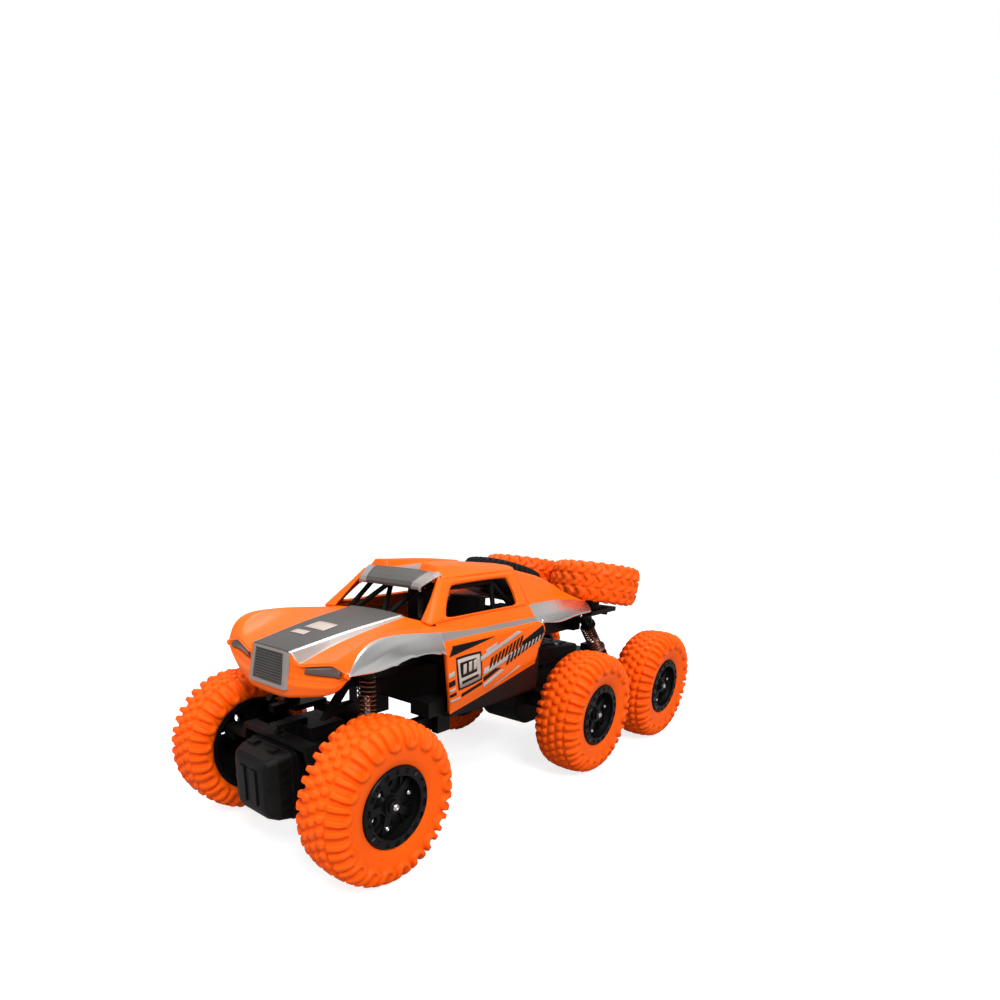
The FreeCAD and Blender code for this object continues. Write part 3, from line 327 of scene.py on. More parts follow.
def tyre_points():
    outer_half = spline(CARCASS, 58)
    mirrored = outer_half[-2::-1] * np.array([-1, 1])
    bead = np.array([[-13.2, 27.5], [-13, 26.2]])
    outer = np.vstack([outer_half, mirrored[mirrored[:, 1] > 28], bead])
    lining = spline(LINING, 24)
    steps = np.linalg.norm(np.diff(outer, axis=0), axis=1)
    across = np.concatenate([[0], np.cumsum(steps)])
    across = across[len(outer_half) - 1] - across
    normal = outline_normals(outer, len(outer_half) - 1)
    columns = TREAD_REPEATS * 28
    angle = np.arange(columns) * 2 * math.pi / columns
    girth = outer[:, 1:]
    height = tyre_tread(across[:, None], angle[None, :] * girth, 2 * math.pi * girth / TREAD_REPEATS)
    x = outer[:, :1] + normal[:, :1] * height
    radius = outer[:, 1:] + normal[:, 1:] * height
    inside = np.ones((len(lining), columns))
    x = np.vstack([x, lining[:, :1] * inside])
    radius = np.vstack([radius, lining[:, 1:] * inside])
    points = np.stack([x, radius * np.cos(angle), radius * np.sin(angle)], axis=2)
    return points.reshape(-1, 3), len(x), columns


def wheel_place(station, side):
    low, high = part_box("tyre_%s_%s" % (station, side))
    turn = Matrix.Rotation(0 if side == "left" else math.pi, 4, "Z")
    return Matrix.Translation((low + high) / 2) @ turn


def wheel_body(station, side):
    return WHEEL_BODY.get(station, "front_wheel_" + side)


def make_tyres():
    points, rows, columns = tyre_points()
    faces = grid_faces(rows, columns, True)
    master = mesh_from("tyre_master", points * MM, faces, [TYRE_ORANGE])
    for station in STATIONS:
        for side in SIDES:
            mesh = master.copy()
            mesh.transform(wheel_place(station, side))
            node = "tyre_%s_%s" % (station, side)
            add_piece("soft_" + node, mesh, wheel_body(station, side), [node])


# ---- rims ----

RING_DEPTH = 0.6
LIP_RADII = [14.9, 15.4, 16.1, 16.3, 17.3, 18.3, 18.5, 18.9, 19.4]
SPOKES = 5
HUB_BARS = [(5, 9.7, 4.6), (9.5, 10.9, 3.3)]  # start, end, radius
RIM_SCREWS = 3
RIM_SCREW_CIRCLE = 11


def polar_ring(bm, x_at, radii, columns):
    """A closed ring whose front face height is x_at(radius, angle) and whose back is flat."""
    angles = [2 * math.pi * k / columns for k in range(columns)]
    rows = [[bm.verts.new((x_at(radius, angle), y, z))
             for angle, (y, z) in zip(angles, circle(radius, columns))] for radius in radii]
    back = min(x_at(radius, angle) for radius in radii for angle in angles) - RING_DEPTH
    for radius in (radii[-1], radii[0]):
        rows.append([bm.verts.new((back, y, z)) for y, z in circle(radius, columns)])
    for row, after in zip(rows, rows[1:] + rows[:1]):
        join_rings(bm, row, after)


def lip_height(radius, angle):
    """Outer ring of the rim: eighteen shallow notches between raised pads."""
    beat = (angle * 18 / (2 * math.pi)) % 1
    in_notch = abs(beat - 0.5) < 0.2 and 16.2 < radius < 18.4
    return 11.6 if in_notch else 12.5 - 0.5 * (radius > 18.9) - 0.3 * (radius < 15.4)


def add_block(bm, low, high, matrix=STILL):
    """A block between two corners, turned by a matrix."""
    corners = [(x, y, z) for x in (low[0], high[0]) for y in (low[1], high[1]) for z in (low[2], high[2])]
    verts = [bm.verts.new(matrix @ Vector(corner)) for corner in corners]
    for quad in ((0, 1, 3, 2), (4, 6, 7, 5), (0, 4, 5, 1), (2, 3, 7, 6), (0, 2, 6, 4), (1, 5, 7, 3)):
        bm.faces.new([verts[k] for k in quad])


def add_screw(bm, x, y, z, radius):
    """Domed screw head facing +X with a dished middle."""
    rings = [(0, 1), (0.45, 1), (0.75, 0.72), (0.8, 0.4)]
    rows = [[bm.verts.new((x + rise * radius, y + dy, z + dz)) for dy, dz in circle(radius * width, 16)]
            for rise, width in rings]
    for row, after in zip(rows, rows[1:]):
        join_rings(bm, row, after)
    bm.faces.new(rows[0][::-1])
    centre = bm.verts.new((x + 0.35 * radius, y, z))
    for vert, after in zip(rows[-1], rows[-1][1:] + rows[-1][:1]):
        bm.faces.new((vert, after, centre))


def make_rim_trim():
    """Bead ring, raised spokes and bright screws on the outside of each rim."""
    for station in STATIONS:
        for side in SIDES:
            place = wheel_place(station, side)
            body = wheel_body(station, side)
            bm = bmesh.new()
            polar_ring(bm, lip_height, LIP_RADII, 180)
            for start, end, radius in HUB_BARS:
                add_rod(bm, Vector((start, 0, 0)), Vector((end, 0, 0)), radius, 32)
            for count in range(SPOKES):
                turn = Matrix.Rotation(math.radians(360 / SPOKES * count + 20), 4, "X")
                add_block(bm, (5.6, -1.9, 3.6), (8.2, 1.9, 15.6), turn)
                for lean in (-1, 1):
                    fork = turn @ Matrix.Translation((0, 0, 8.5)) @ Matrix.Rotation(lean * 0.8, 4, "X")
                    add_block(bm, (5.6, -0.9, 0), (7.6, 0.9, 7.4), fork)
            polar_ring(bm, lambda radius, angle: 6.6, [5.4, 6.2], 60)
            name = "rim_trim_%s_%s" % (station, side)
            finish_bevel(add_solid(name, bm, [RIM_BLACK], body, matrix=place), 0.25)
            bm = bmesh.new()
            add_screw(bm, HUB_BARS[-1][1], 0, 0, 1.7)
            for count in range(RIM_SCREWS):
                angle = math.radians(360 / RIM_SCREWS * count + 15)
                y, z = RIM_SCREW_CIRCLE * math.cos(angle), RIM_SCREW_CIRCLE * math.sin(angle)
                add_screw(bm, 8.3, y, z, 1.15)
            add_solid("rim_screws_%s_%s" % (station, side), bm, [STEEL], body, matrix=place)


# ---- spare tyres ----

def spare_matrix(node, tilt):
    low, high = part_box(node)
    return Matrix.Translation((low + high) / 2) @ Matrix.Rotation(math.radians(tilt), 4, "X")


def zigzag_height(across, along, radius):
    """Arrow-shaped bars round the outside of the orange spares."""
    repeat = 2 * math.pi * radius / 22
    fold = np.abs((across + 12) % 8 - 4)
    bars = (along + 0.9 * fold + (np.floor((across + 12) / 8) % 2) * repeat / 2) % repeat - repeat / 2
    raised = smooth_step(2.5 - np.abs(bars), 0, 0.8)
    row_gap = smooth_step(4 - fold, 0.1, 0.7)
    return 1.5 * raised * row_gap * (1 - smooth_step(np.abs(across), 12, 14.5))


def rib_height(across, along, radius):
    """Plain ribs across the black spare."""
    repeat = 2 * math.pi * radius / 40
    bars = along % repeat - repeat / 2
    return 0.9 * smooth_step(1.15 - np.abs(bars), 0, 0.5) * (1 - smooth_step(np.abs(across), 8, 10))


def make_spare(name, node, tilt, radius, half, bore, height, material):
    """A tyre lying flat: its axle is the local Z axis."""
    tread = [(0, radius - 0.9), (half * 0.55, radius - 1), (half * 0.86, radius - 2.4), (half, radius - 5.5),
             (half - 0.6, radius - 10), (half - 1.6, bore + 1), (half - 3.5, bore), (0, bore)]
    upper = spline(tread, 60)
    profile = np.vstack([upper, (upper * np.array([-1, 1]))[-2:0:-1]])
    columns = 440
    angle = np.arange(columns) * 2 * math.pi / columns
    steps = np.concatenate([[0], np.cumsum(np.linalg.norm(np.diff(upper, axis=0), axis=1))])
    across = np.concatenate([steps, -steps[-2:0:-1]])
    bumps = height(across[:, None], angle[None, :] * radius, radius)
    normal = outline_normals(profile, 0)
    z = profile[:, :1] + normal[:, :1] * bumps
    ring = profile[:, 1:] + normal[:, 1:] * bumps
    points = np.stack([ring * np.cos(angle), ring * np.sin(angle), z], axis=2).reshape(-1, 3)
    mesh = mesh_from(name, points * MM, grid_faces(len(profile), columns, True), [material])
    mesh.transform(spare_matrix(node, tilt))
    return add_piece(name, mesh, "chassis", [node])


def make_spares():
    for side in SIDES:
        make_spare("zigzag_spare_" + side, "spare_tyre_" + side, -10, 28.5, 12, 12.5, zigzag_height,
                   SPARE_ORANGE)
    make_spare("ribbed_spare", "spare_tyre_centre", -19, 25, 9.5, 10, rib_height, BLACK_RUBBER)


# ---- body shell ----

# Lengthwise lines of the left half of the shell, from front to rear, as (x, y, z) in millimetres.
# Lines of neighbouring sheets meet in the same end points.
LINES = {
    "bonnet_centre": [(0, -151.4, 102.9), (0, -120, 108.9), (0, -86, 113)],
    "strip_inner": [(14.2, -151.3, 102.6), (17, -120, 107.9), (19.4, -86, 112.1)],
    "strip_outer": [(15.4, -151.2, 102.3), (18.2, -120, 107.4), (20.6, -86, 111.7)],
    "facet_foot": [(19, -150, 96.8), (20.6, -135, 102.2), (21.2, -115, 106.6), (21.6, -86, 111.2)],
    "slope": [(22.8, -148.9, 97.8), (24.6, -120, 105.6), (25, -86, 110.8)],
    "valley": [(31, -146.8, 99), (32, -122, 105.4), (31, -104, 108), (32.5, -85, 110.4)],
    "hump_foot": [(35, -145.8, 99.8), (39, -130, 105.4), (40.4, -114, 108.6), (39.6, -100, 109.4),
        (37, -84.5, 110)],
    "hump_ridge": [(38.6, -145, 100.4), (42, -140.2, 104.8), (43.5, -135.8, 107.4), (44.4, -129.6, 109.6),
        (44.8, -119.3, 110.8), (43.6, -100.9, 110.1), (42, -84, 108.4)],
    "facet_middle": [(43.2, -144.9, 98.8), (45.8, -141.6, 103.6), (46.6, -136, 107.7), (46.8, -129, 110.2),
        (46.4, -120, 110.9), (45, -102, 109.7), (43.2, -84, 107.2)],
    "band_top": [(48, -145, 97), (48.6, -143.2, 101.2), (48.8, -141.4, 104.6), (49, -138, 107.6),
        (49, -133, 109.6), (48.6, -127, 110.5), (47.8, -119, 110.3), (46.4, -104, 108.8),
        (44.4, -84, 106.2)],
    "band_crease": [(48.4, -145, 96.6), (50.2, -140.2, 98.9), (51.2, -134.8, 101.4), (51.3, -124.4, 105.4),
        (50, -111.9, 106.7), (48.6, -100, 106), (46.6, -84.2, 101.9)],
    "band_middle": [(48.4, -145, 96.35), (51, -136, 98), (51.9, -124, 101), (51.7, -110, 102.9),
        (50.5, -97, 102.4), (47.8, -84.4, 99.8)],
    "band_lip": [(48.3, -145, 96.1), (51.5, -133, 95.8), (52.2, -122.2, 96.9), (52.4, -114.3, 98.2),
        (52.2, -106.4, 99.4), (51.4, -97, 98.8), (50.2, -89.4, 96.8), (48.6, -84, 95.5)],
    "belt": [(41.4, -84, 110), (41.9, -45, 110.8), (41.2, -5.4, 110.6)],
    "shoulder_high": [(42, -84, 108.4), (43.2, -45, 108.7), (42.6, -5.2, 108.4)],
    "shoulder_low": [(43.2, -84, 107.2), (44.4, -45, 106.5), (44.2, -5, 106.2)],
    "stripe_top": [(44.4, -84, 106.2), (45.1, -61, 104.9), (45.4, -30, 104.6), (45.4, -5, 104.4)],
    "stripe_low": [(46.6, -84.2, 101.9), (46.6, -61, 102.2), (46.8, -30, 102.1), (46.8, -4, 102)],
    "door_shoulder": [(47.8, -84.4, 99.8), (48.6, -45, 100.3), (48.3, 0.5, 100.4)],
    "door_upper": [(48.6, -84, 95.5), (49, -45, 95.5), (48.4, 6, 96)],
    "door_middle": [(49, -83, 85), (48.9, -45, 87), (48.2, -1.5, 88)],
    "door_crease": [(48.4, -80.2, 70.8), (48.8, -45, 75.6), (48.2, -2.7, 81)],
    "door_edge": [(46.2, -77.5, 63.2), (46.8, -45, 69.4), (46.8, -3.4, 77.6)],
    "sill_middle": [(45.9, -77.3, 62.6), (45.9, -48, 65), (45.9, -1.4, 70)],
    "sill_low": [(45.2, -77, 61.4), (45.3, -53.8, 60.2), (45.2, 1, 61.2)],
    "buttress_top": [(30.4, -7, 129.4), (30.8, 22, 122.4), (33.6, 46, 111.6), (36.2, 64, 105.4)],
    "wing_edge": [(41.2, -5.4, 110.6), (38.6, 22, 110), (37.6, 46, 108.2), (38, 64, 104.8)],
    "wing_high": [(42.6, -5.2, 108.4), (40.4, 22, 108.6), (39.2, 46, 107.2), (39, 64, 104)],
    "wing_upper": [(44.2, -5, 106.2), (42.6, 22, 106.8), (41, 46, 105.8), (40, 64, 103.2)],
    "wing_fold": [(45.4, -5, 104.4), (45, 22, 104.4), (42.6, 46, 104.4), (41, 64, 102.2)],
    "wing_lower": [(46.8, -4, 102), (46.6, 22, 101), (44.2, 46, 101.4), (42, 64, 100.4)],
    "wing_lip": [(48.3, 0.5, 100.4), (47.4, 20, 97.8), (45, 42, 98.4), (42.6, 64, 98.2)],
    "roof_centre": [(0, -66.5, 131.6), (0, -35, 132.2), (0, -5, 131.4)],
    "scoop_foot": [(11, -66.8, 131.4), (11.8, -35, 132.1), (13, -5, 131.2)],
    "scoop_inner": [(13.2, -65.4, 135.9), (13.8, -35, 134.7), (14.2, -5, 131.9)],
    "scoop_outer": [(22.8, -65.4, 135.3), (23.8, -35, 133.9), (24.2, -5, 131.4)],
    "roof_edge": [(27.6, -66.4, 131), (28.4, -35, 131.3), (28.6, -6, 130.7)],
    "header": [(30.2, -67.4, 129.2), (30.6, -35, 129.6), (30.4, -7, 129.4)],
}
# Nose columns from the grille to the fender tip:
# (x, brow y, brow z, lens top z, lens low z, recess, chin y, chin z, bottom y, bottom z)
NOSE = [(19, -150, 96.8, 95.9, 92.8, 0.3, -153.4, 88.8, -152.4, 82.6),
    (22.8, -148.9, 97.8, 96.2, 93, 1.8, -152.6, 89, -151.6, 83),
    (31, -146.8, 99, 97.6, 93.6, 1.9, -150.4, 89.4, -149.2, 84.6),
    (35, -145.8, 99.8, 98.3, 93.9, 1.8, -149.2, 89.7, -148, 85.6),
    (38.6, -145, 100.4, 98.9, 94.2, 1.5, -148.2, 90, -147, 87),
    (43.2, -144.9, 98.8, 97.2, 94.7, 0.7, -146.8, 91.8, -146, 89.6),
    (48, -145, 97, 96.8, 96.5, 0.1, -145.4, 96.1, -145.2, 95.6)]
WINDOW_HOLE = [(41.2, -77.9, 111.6), (41, -14.7, 111.9), (31.9, -14.9, 126.6), (32.1, -63.8, 126.2)]
WINDOW_FRAME = [(41.4, -87.6, 110), (41.2, -5.4, 110.6), (30.4, -7, 129.4), (30.2, -67.4, 129.2)]
COLUMNS = 17  # points along each line
FACE_STEP = 0.8  # the nose stands this far ahead of its brow
SHELL_WALL = 1.3
PAINTS = {"o": PAINT_ORANGE, "s": SILVER, "g": GREY, "p": GREY_LIGHT, "b": BLACK}


def rounded_square(s, t, rounding):
    """Moves a point of the square -1 to 1 so that the corners of the square become round."""
    return s * math.sqrt(1 - rounding * t * t / 2), t * math.sqrt(1 - rounding * s * s / 2)


def in_quad(corners, s, t):
    """Point of a four-cornered patch for s and t from -1 to 1."""
    a, b, c, d = (Vector(corner) for corner in corners)
    across, up = (s + 1) / 2, (t + 1) / 2
    return a.lerp(b, across).lerp(d.lerp(c, across), up)


def square_rim(per_edge):
    """Points round the square -1 to 1, corner by corner."""
    steps = [2 * k / per_edge - 1 for k in range(per_edge)]
    return ([(step, -1) for step in steps] + [(1, step) for step in steps]
            + [(-step, 1) for step in steps] + [(-1, -step) for step in steps])


class Shell:
    """Collects sheets of one body shell, with sharp lines where asked."""

    def __init__(self):
        self.bm = bmesh.new()
        self.crease = self.bm.edges.layers.float.new("crease_edge")

    def skin(self, rows, paints, side, sharp=(), closed=False):
        """Faces between neighbouring rows of points, with one letter of PAINTS for each strip.

        sharp lists the rows that keep a crisp edge.
        """
        rows = [[self.bm.verts.new((x * side, y, z)) for x, y, z in row] for row in rows]
        count = len(rows[0]) if closed else len(rows[0]) - 1
        for index, (row, after) in enumerate(zip(rows, rows[1:])):
            for k in range(count):
                step = (k + 1) % len(row)
                quad = [row[k], row[step], after[step], after[k]]
                face = self.bm.faces.new(quad if side > 0 else quad[::-1])
                face.material_index = list(PAINTS).index(paints[index])
                face.smooth = True
        for index in sharp:
            row = rows[index]
            for k in range(count):
                edge = self.bm.edges.get((row[k], row[(k + 1) % len(row)]))
                if edge:
                    edge[self.crease] = 0.85

    def sheet(self, names, paints, side, sharp=(), columns=COLUMNS):
        """A smooth sheet through lines, given by their names in LINES or by their points."""
        lines = [LINES[name] if isinstance(name, str) else name for name in names]
        self.skin([spline(line, columns) for line in lines], paints, side, sharp)

    def lip(self, name, paints, side, x, z):
        """The rolled edge along a line."""
        edge = spline(LINES[name], COLUMNS)
        self.skin([edge, moved(edge, x=x, z=z)], paints, side, sharp=(0,))

    def finish(self, name):
        bmesh.ops.remove_doubles(self.bm, verts=self.bm.verts, dist=0.12)
        piece = add_solid(name, self.bm, PAINTS.values(), "chassis", ["body_shell"])
        subsurf = piece.modifiers.new("smooth", "SUBSURF")
        subsurf.levels = 2
        subsurf.render_levels = 2
        subsurf.boundary_smooth = "PRESERVE_CORNERS"
        solid = piece.modifiers.new("wall", "SOLIDIFY")
        solid.thickness = SHELL_WALL * MM
        solid.offset = -1
        solid.use_even_offset = False  # even offset makes spikes at sharp corners
        return piece


def moved(points, x=0, y=0, z=0):
    return [(px + x, py + y, pz + z) for px, py, pz in points]


def make_front_sheets(shell, side):
    shell.sheet("bonnet_centre strip_inner strip_outer facet_foot slope valley hump_foot hump_ridge "
                "facet_middle band_top band_crease band_middle band_lip".split(),
                "gspoooooosss", side,
                sharp=(1, 2, 3, 7, 9, 10))
    shell.lip("band_lip", "s", side, -2.4, 0.8)
    columns = [[(15.4, -151.2, 102.3), (15.3, -151.9, 99), (15.3, -152.2, 96), (15.3, -152.8, 92.8),
                (15.3, -153, 91.8), (15.3, -153.2, 90.4), (15.3, -154, 88.4), (15.3, -153.8, 81.6)]]
    for x, y, z, lens_top, lens_low, recess, chin_y, chin_z, low_y, low_z in NOSE:
        face = y - FACE_STEP
        columns.append([(x, y, z), (x, face, lens_top + 0.5), (x, face + recess, lens_top + 0.2),
                        (x, face + recess, lens_low - 0.2), (x, face - 0.4, lens_low - 0.7),
                        (x, (face + chin_y) / 2 + 0.5, chin_z + 0.9), (x, chin_y, chin_z), (x, low_y, low_z)])
    rows = [list(row) for row in zip(*columns)]
    shell.skin(rows, "ooooooo", side, sharp=(0, 1, 2, 3, 4, 5, 6))
    centre = [(0, -152.4, 90.2), (0, -153.6, 87.9), (0, -153.6, 80.8)]
    shell.skin([[centre[k], columns[0][5 + k]] for k in range(3)], "oo", side, sharp=(0, 1))


def make_side_sheets(shell, side):
    shell.sheet("belt shoulder_high shoulder_low stripe_top stripe_low door_shoulder door_upper door_middle "
                "door_crease door_edge sill_middle sill_low".split(),
                "ooopooooobb",
                side, sharp=(0, 2, 3, 4, 8, 9))
    for end, shift in ((0, 1.2), (-1, -1)):
        names = "stripe_low door_shoulder door_upper door_middle door_crease door_edge"
        edge = [LINES[name][end] for name in names.split()]
        shell.skin([edge, moved(edge, x=-3, y=shift)], "o", side, sharp=(0,))
    shell.sheet("wing_edge wing_high wing_upper wing_fold wing_lower wing_lip".split(),
                "sssss", side, sharp=(0, 3))
    shell.lip("wing_lip", "s", side, -2.6, 0.6)
    middle = [(34.6, -6.2, 122.2), (34, 22, 117.6), (35.2, 46, 110.2), (37, 64, 105.2)]
    shell.sheet(["buttress_top", middle, "wing_edge"], "oo", side, sharp=(2,))


def make_cab_sheets(shell, side):
    shell.sheet("roof_centre scoop_foot scoop_inner scoop_outer roof_edge header".split(),
                "poooo", side, sharp=(1, 2, 3, 4))
    foot = [(11, -66.8, 131.4), (16, -67.4, 131.4), (22, -67.2, 131.2), (27.6, -66.4, 131)]
    top = [(13.2, -65.4, 135.9), (16.4, -65.7, 135.9), (19.6, -65.7, 135.7), (22.8, -65.4, 135.3)]
    shell.skin([top, foot], "o", side, sharp=(0,))
    rim = square_rim(8)
    outer = [tuple(in_quad(WINDOW_FRAME, s, t)) for s, t in rim]
    hole = [tuple(in_quad(WINDOW_HOLE, *rounded_square(s, t, 0.16))) for s, t in rim]
    ridge = [tuple(Vector(a).lerp(Vector(b), 0.72) + Vector((0.7, 0, 0.3))) for a, b in zip(outer, hole)]
    shell.skin([outer, ridge, hole, moved(hole, x=-1.6, z=-0.8)], "ooo", side, sharp=(0, 1, 2),
               closed=True)
    pillar_front = [(33.6, -86.8, 110.6), (30.2, -76, 121), (26.4, -67, 130.6)]
    pillar_middle = [(38.6, -88.4, 110.4), (33.4, -78.2, 120.4), (28.6, -68.4, 130.2)]
    pillar_side = [(41.4, -87.6, 110), (35.8, -77.5, 119.6), (30.2, -67.4, 129.2)]
    shell.sheet([pillar_front, pillar_middle, pillar_side], "oo", side, sharp=(1, 2), columns=9)
    shell.skin([[(0, -67.2, 131.4), (14, -67.3, 131.3), (26.4, -67, 130.6)],
                [(0, -69.4, 128), (14, -69.4, 128), (25.4, -69, 127.4)]], "o", side)


def make_body_shell():
    shell = Shell()
    for side in SIDES.values():
        make_front_sheets(shell, side)
        make_side_sheets(shell, side)
        make_cab_sheets(shell, side)
    return shell.finish("painted_shell")


# ---- lamps, grille and visor ----

def thicken(piece, thickness, offset=-1):
    solid = piece.modifiers.new("thickness", "SOLIDIFY")
    solid.thickness = thickness * MM
    solid.offset = offset


def make_lamps():
    """Two tinted lenses let into the nose under its brow."""
    vertices = []
    faces = []
    for side in SIDES.values():
        top = [(x * side, y - FACE_STEP + recess, z) for x, y, _, z, _, recess, *_ in NOSE[1:6]]
        low = [(x * side, y - FACE_STEP + recess, z) for x, y, _, _, z, recess, *_ in NOSE[1:6]]
        top[0] = (23.4 * side, top[0][1], top[0][2] - 0.3)
        low[0] = (21.6 * side, low[0][1], low[0][2] + 0.3)
        upper = spline(top, 21)
        lower = spline(low, 21)
        start = len(vertices)
        for k in range(9):
            t = k / 8
            bulge = 0.5 + 0.5 * math.sin(math.pi * t)
            row = upper + (lower - upper) * t
            row[:, 1] -= bulge
            vertices.extend(row * MM)
        for face in grid_faces(9, 21):
            faces.append([start + k for k in (face if side > 0 else face[::-1])])
    mesh = mesh_from("lamp_lenses", vertices, faces, [LENS])
    thicken(add_piece("lamp_lenses", mesh, "chassis", ["headlights"]), 0.5)


def make_grille():
    """Leaning grille block: pale frame, dark mesh let into its front."""
    bm = bmesh.new()
    front = [(-14.2, -155.2, 85.4), (14.2, -155.2, 85.4), (12.6, -152, 102.6), (-12.6, -152, 102.6)]
    side_low, side_high = (17.6, -151.6, 86.4), (16.6, -150.2, 100.8)
    rim = square_rim(6)
    outer = [bm.verts.new(in_quad(front, s, t)) for s, t in rim]
    inner = [bm.verts.new(in_quad(front, *rounded_square(s * 0.86, t * 0.84, 0.05))) for s, t in rim]
    floor = [bm.verts.new(vert.co + Vector((0, 1.3, 0.2))) for vert in inner]
    join_rings(bm, outer, inner)
    join_rings(bm, inner, floor)
    bm.faces.new(floor).material_index = 1
    for side in SIDES.values():
        low, high = (bm.verts.new((x * side, y, z)) for x, y, z in (side_low, side_high))
        edge = outer[6:13] if side > 0 else outer[18:] + outer[:1]  # six steps up one side of the rim
        for k in range(len(edge) - 1):
            bm.faces.new((edge[k], edge[k + 1], low if k < 3 else high))
        bm.faces.new((edge[3], low, high))
    bars = [((s, -0.82), (s, 0.82), 0.75, 0.36) for s in np.linspace(-0.82, 0.82, 17)]
    bars += [((-0.84, t), (0.84, t), 0.6, 0.4) for t in np.linspace(-0.8, 0.8, 12)]
    for start, end, depth, radius in bars:
        back = Vector((0, depth, 0))
        add_rod(bm, in_quad(front, *start) + back, in_quad(front, *end) + back, radius, 6, 2)
    paints = [GREY_LIGHT, BLACK, GREY]
    finish_bevel(add_solid("grille_block", bm, paints, "chassis", ["grille_insert"]), 0.3)


def add_rod(bm, start, end, radius, sides, material=0):
    """Round bar between two points."""
    direction = end - start
    turn = direction.to_track_quat("Z", "Y").to_matrix().to_4x4()
    rings = [[bm.verts.new(place + turn @ Vector((x, y, 0))) for x, y in circle(radius, sides)]
             for place in (start, end)]
    join_rings(bm, rings[0], rings[1], material, sides > 8)
    for ring in (rings[0][::-1], rings[1]):
        bm.faces.new(ring).material_index = material


def make_visor():
    """Sun visor over the windscreen: dark middle, bright ends, rolled front lip."""
    across = [-1, -0.93, -0.74, -0.7, -0.35, 0, 0.35, 0.7, 0.74, 0.93, 1]
    profile = [(-66, 131.4, 28), (-69.4, 130.1, 26.6), (-73, 128.2, 25), (-75.6, 126.5, 23.6),
               (-76.3, 125.3, 23.2), (-75.9, 124.2, 23.2)]
    rows = []
    for y, z, half in profile:
        rows.append([(half * s, y + 0.5 * s * s, z - (1.4 if abs(s) == 1 else 0.25 * (abs(s) > 0.72)))
                     for s in across])
    indices = [0 if abs(a + b) / 2 > 0.72 else 1 for a, b in zip(across, across[1:])] * (len(profile) - 1)
    vertices = [Vector(point) * MM for row in rows for point in row]
    faces = grid_faces(len(rows), len(across))
    mesh = mesh_from("roof_visor", vertices, faces, [GREY_LIGHT, GREY])
    mesh.polygons.foreach_set("material_index", indices)
    mesh.polygons.foreach_set("use_smooth", [False] * len(mesh.polygons))
    piece = add_piece("roof_visor", mesh, "chassis", ["sun_visor"])
    thicken(piece, 1.2)
    finish_bevel(piece, 0.25, angle=50)


# ---- markings ----

MARK_DEPTH = 0.12


class Skin:
    """Lays thin markings onto the finished body shell."""

    def __init__(self, piece):
        bpy.context.view_layer.update()
        self.tree = BVHTree.FromObject(piece, bpy.context.evaluated_depsgraph_get())
        self.vertices, self.faces = [], []

    def patch(self, drawing, start, direction, reach, lift, columns=14, rows=5):
        """A drawing has four corners and may end with a rounding.

        start turns a point of it into the beginning of a ray along direction. The shell is about reach away.
        """
        first = len(self.vertices)
        rounding = drawing[4] if len(drawing) > 4 else 0
        corners = [(a, b, 0) for a, b in drawing[:4]]
        for j in range(rows):
            for i in range(columns):
                s, t = rounded_square(2 * i / (columns - 1) - 1, 2 * j / (rows - 1) - 1, rounding)
                flat = in_quad(corners, s, t)
                place, normal, _, _ = self.tree.ray_cast(start(flat) * MM, direction)
                expected = (start(flat) + direction * reach) * MM
                if place is None or (place - expected).length > 7 * MM:
                    place, normal, _, _ = self.tree.find_nearest(expected)
                facing = normal if normal.dot(direction) < 0 else -normal
                self.vertices.append(place + facing * lift * MM)
        self.faces.extend([first + k for k in face] for face in grid_faces(rows, columns))

    def side_patches(self, drawings, lift):
        for drawing in drawings:
            for side in SIDES.values():
                self.patch(drawing, lambda flat, side=side: Vector((90 * side, flat[0], flat[1])),
                           Vector((-side, 0, 0)), 42, lift)

    def top_patches(self, drawings, lift):
        for drawing in drawings:
            self.patch(drawing, lambda flat: Vector((flat[0], flat[1], 170)), Vector((0, 0, -1)), 60, lift)

    def finish(self, name, material, slot):
        mesh = mesh_from(name, self.vertices, self.faces, [material])
        piece = add_piece(name, mesh, "chassis")
        thicken(piece, MARK_DEPTH, 0)
        self.vertices, self.faces = [], []


def slanted_row(start, end, count, width, height, lean):
    """Equal slanted bars between two points of a side drawing."""
    bars = []
    for k in range(count):
        y = start[0] + (end[0] - start[0]) * k / (count - 1)
        z = start[1] + (end[1] - start[1]) * k / (count - 1)
        rise = width * (end[1] - start[1]) / (end[0] - start[0])
        foot = [(y, z), (y + width, z + rise)]
        bars.append(foot + [(a + lean, b + height) for a, b in foot[::-1]])
    return bars


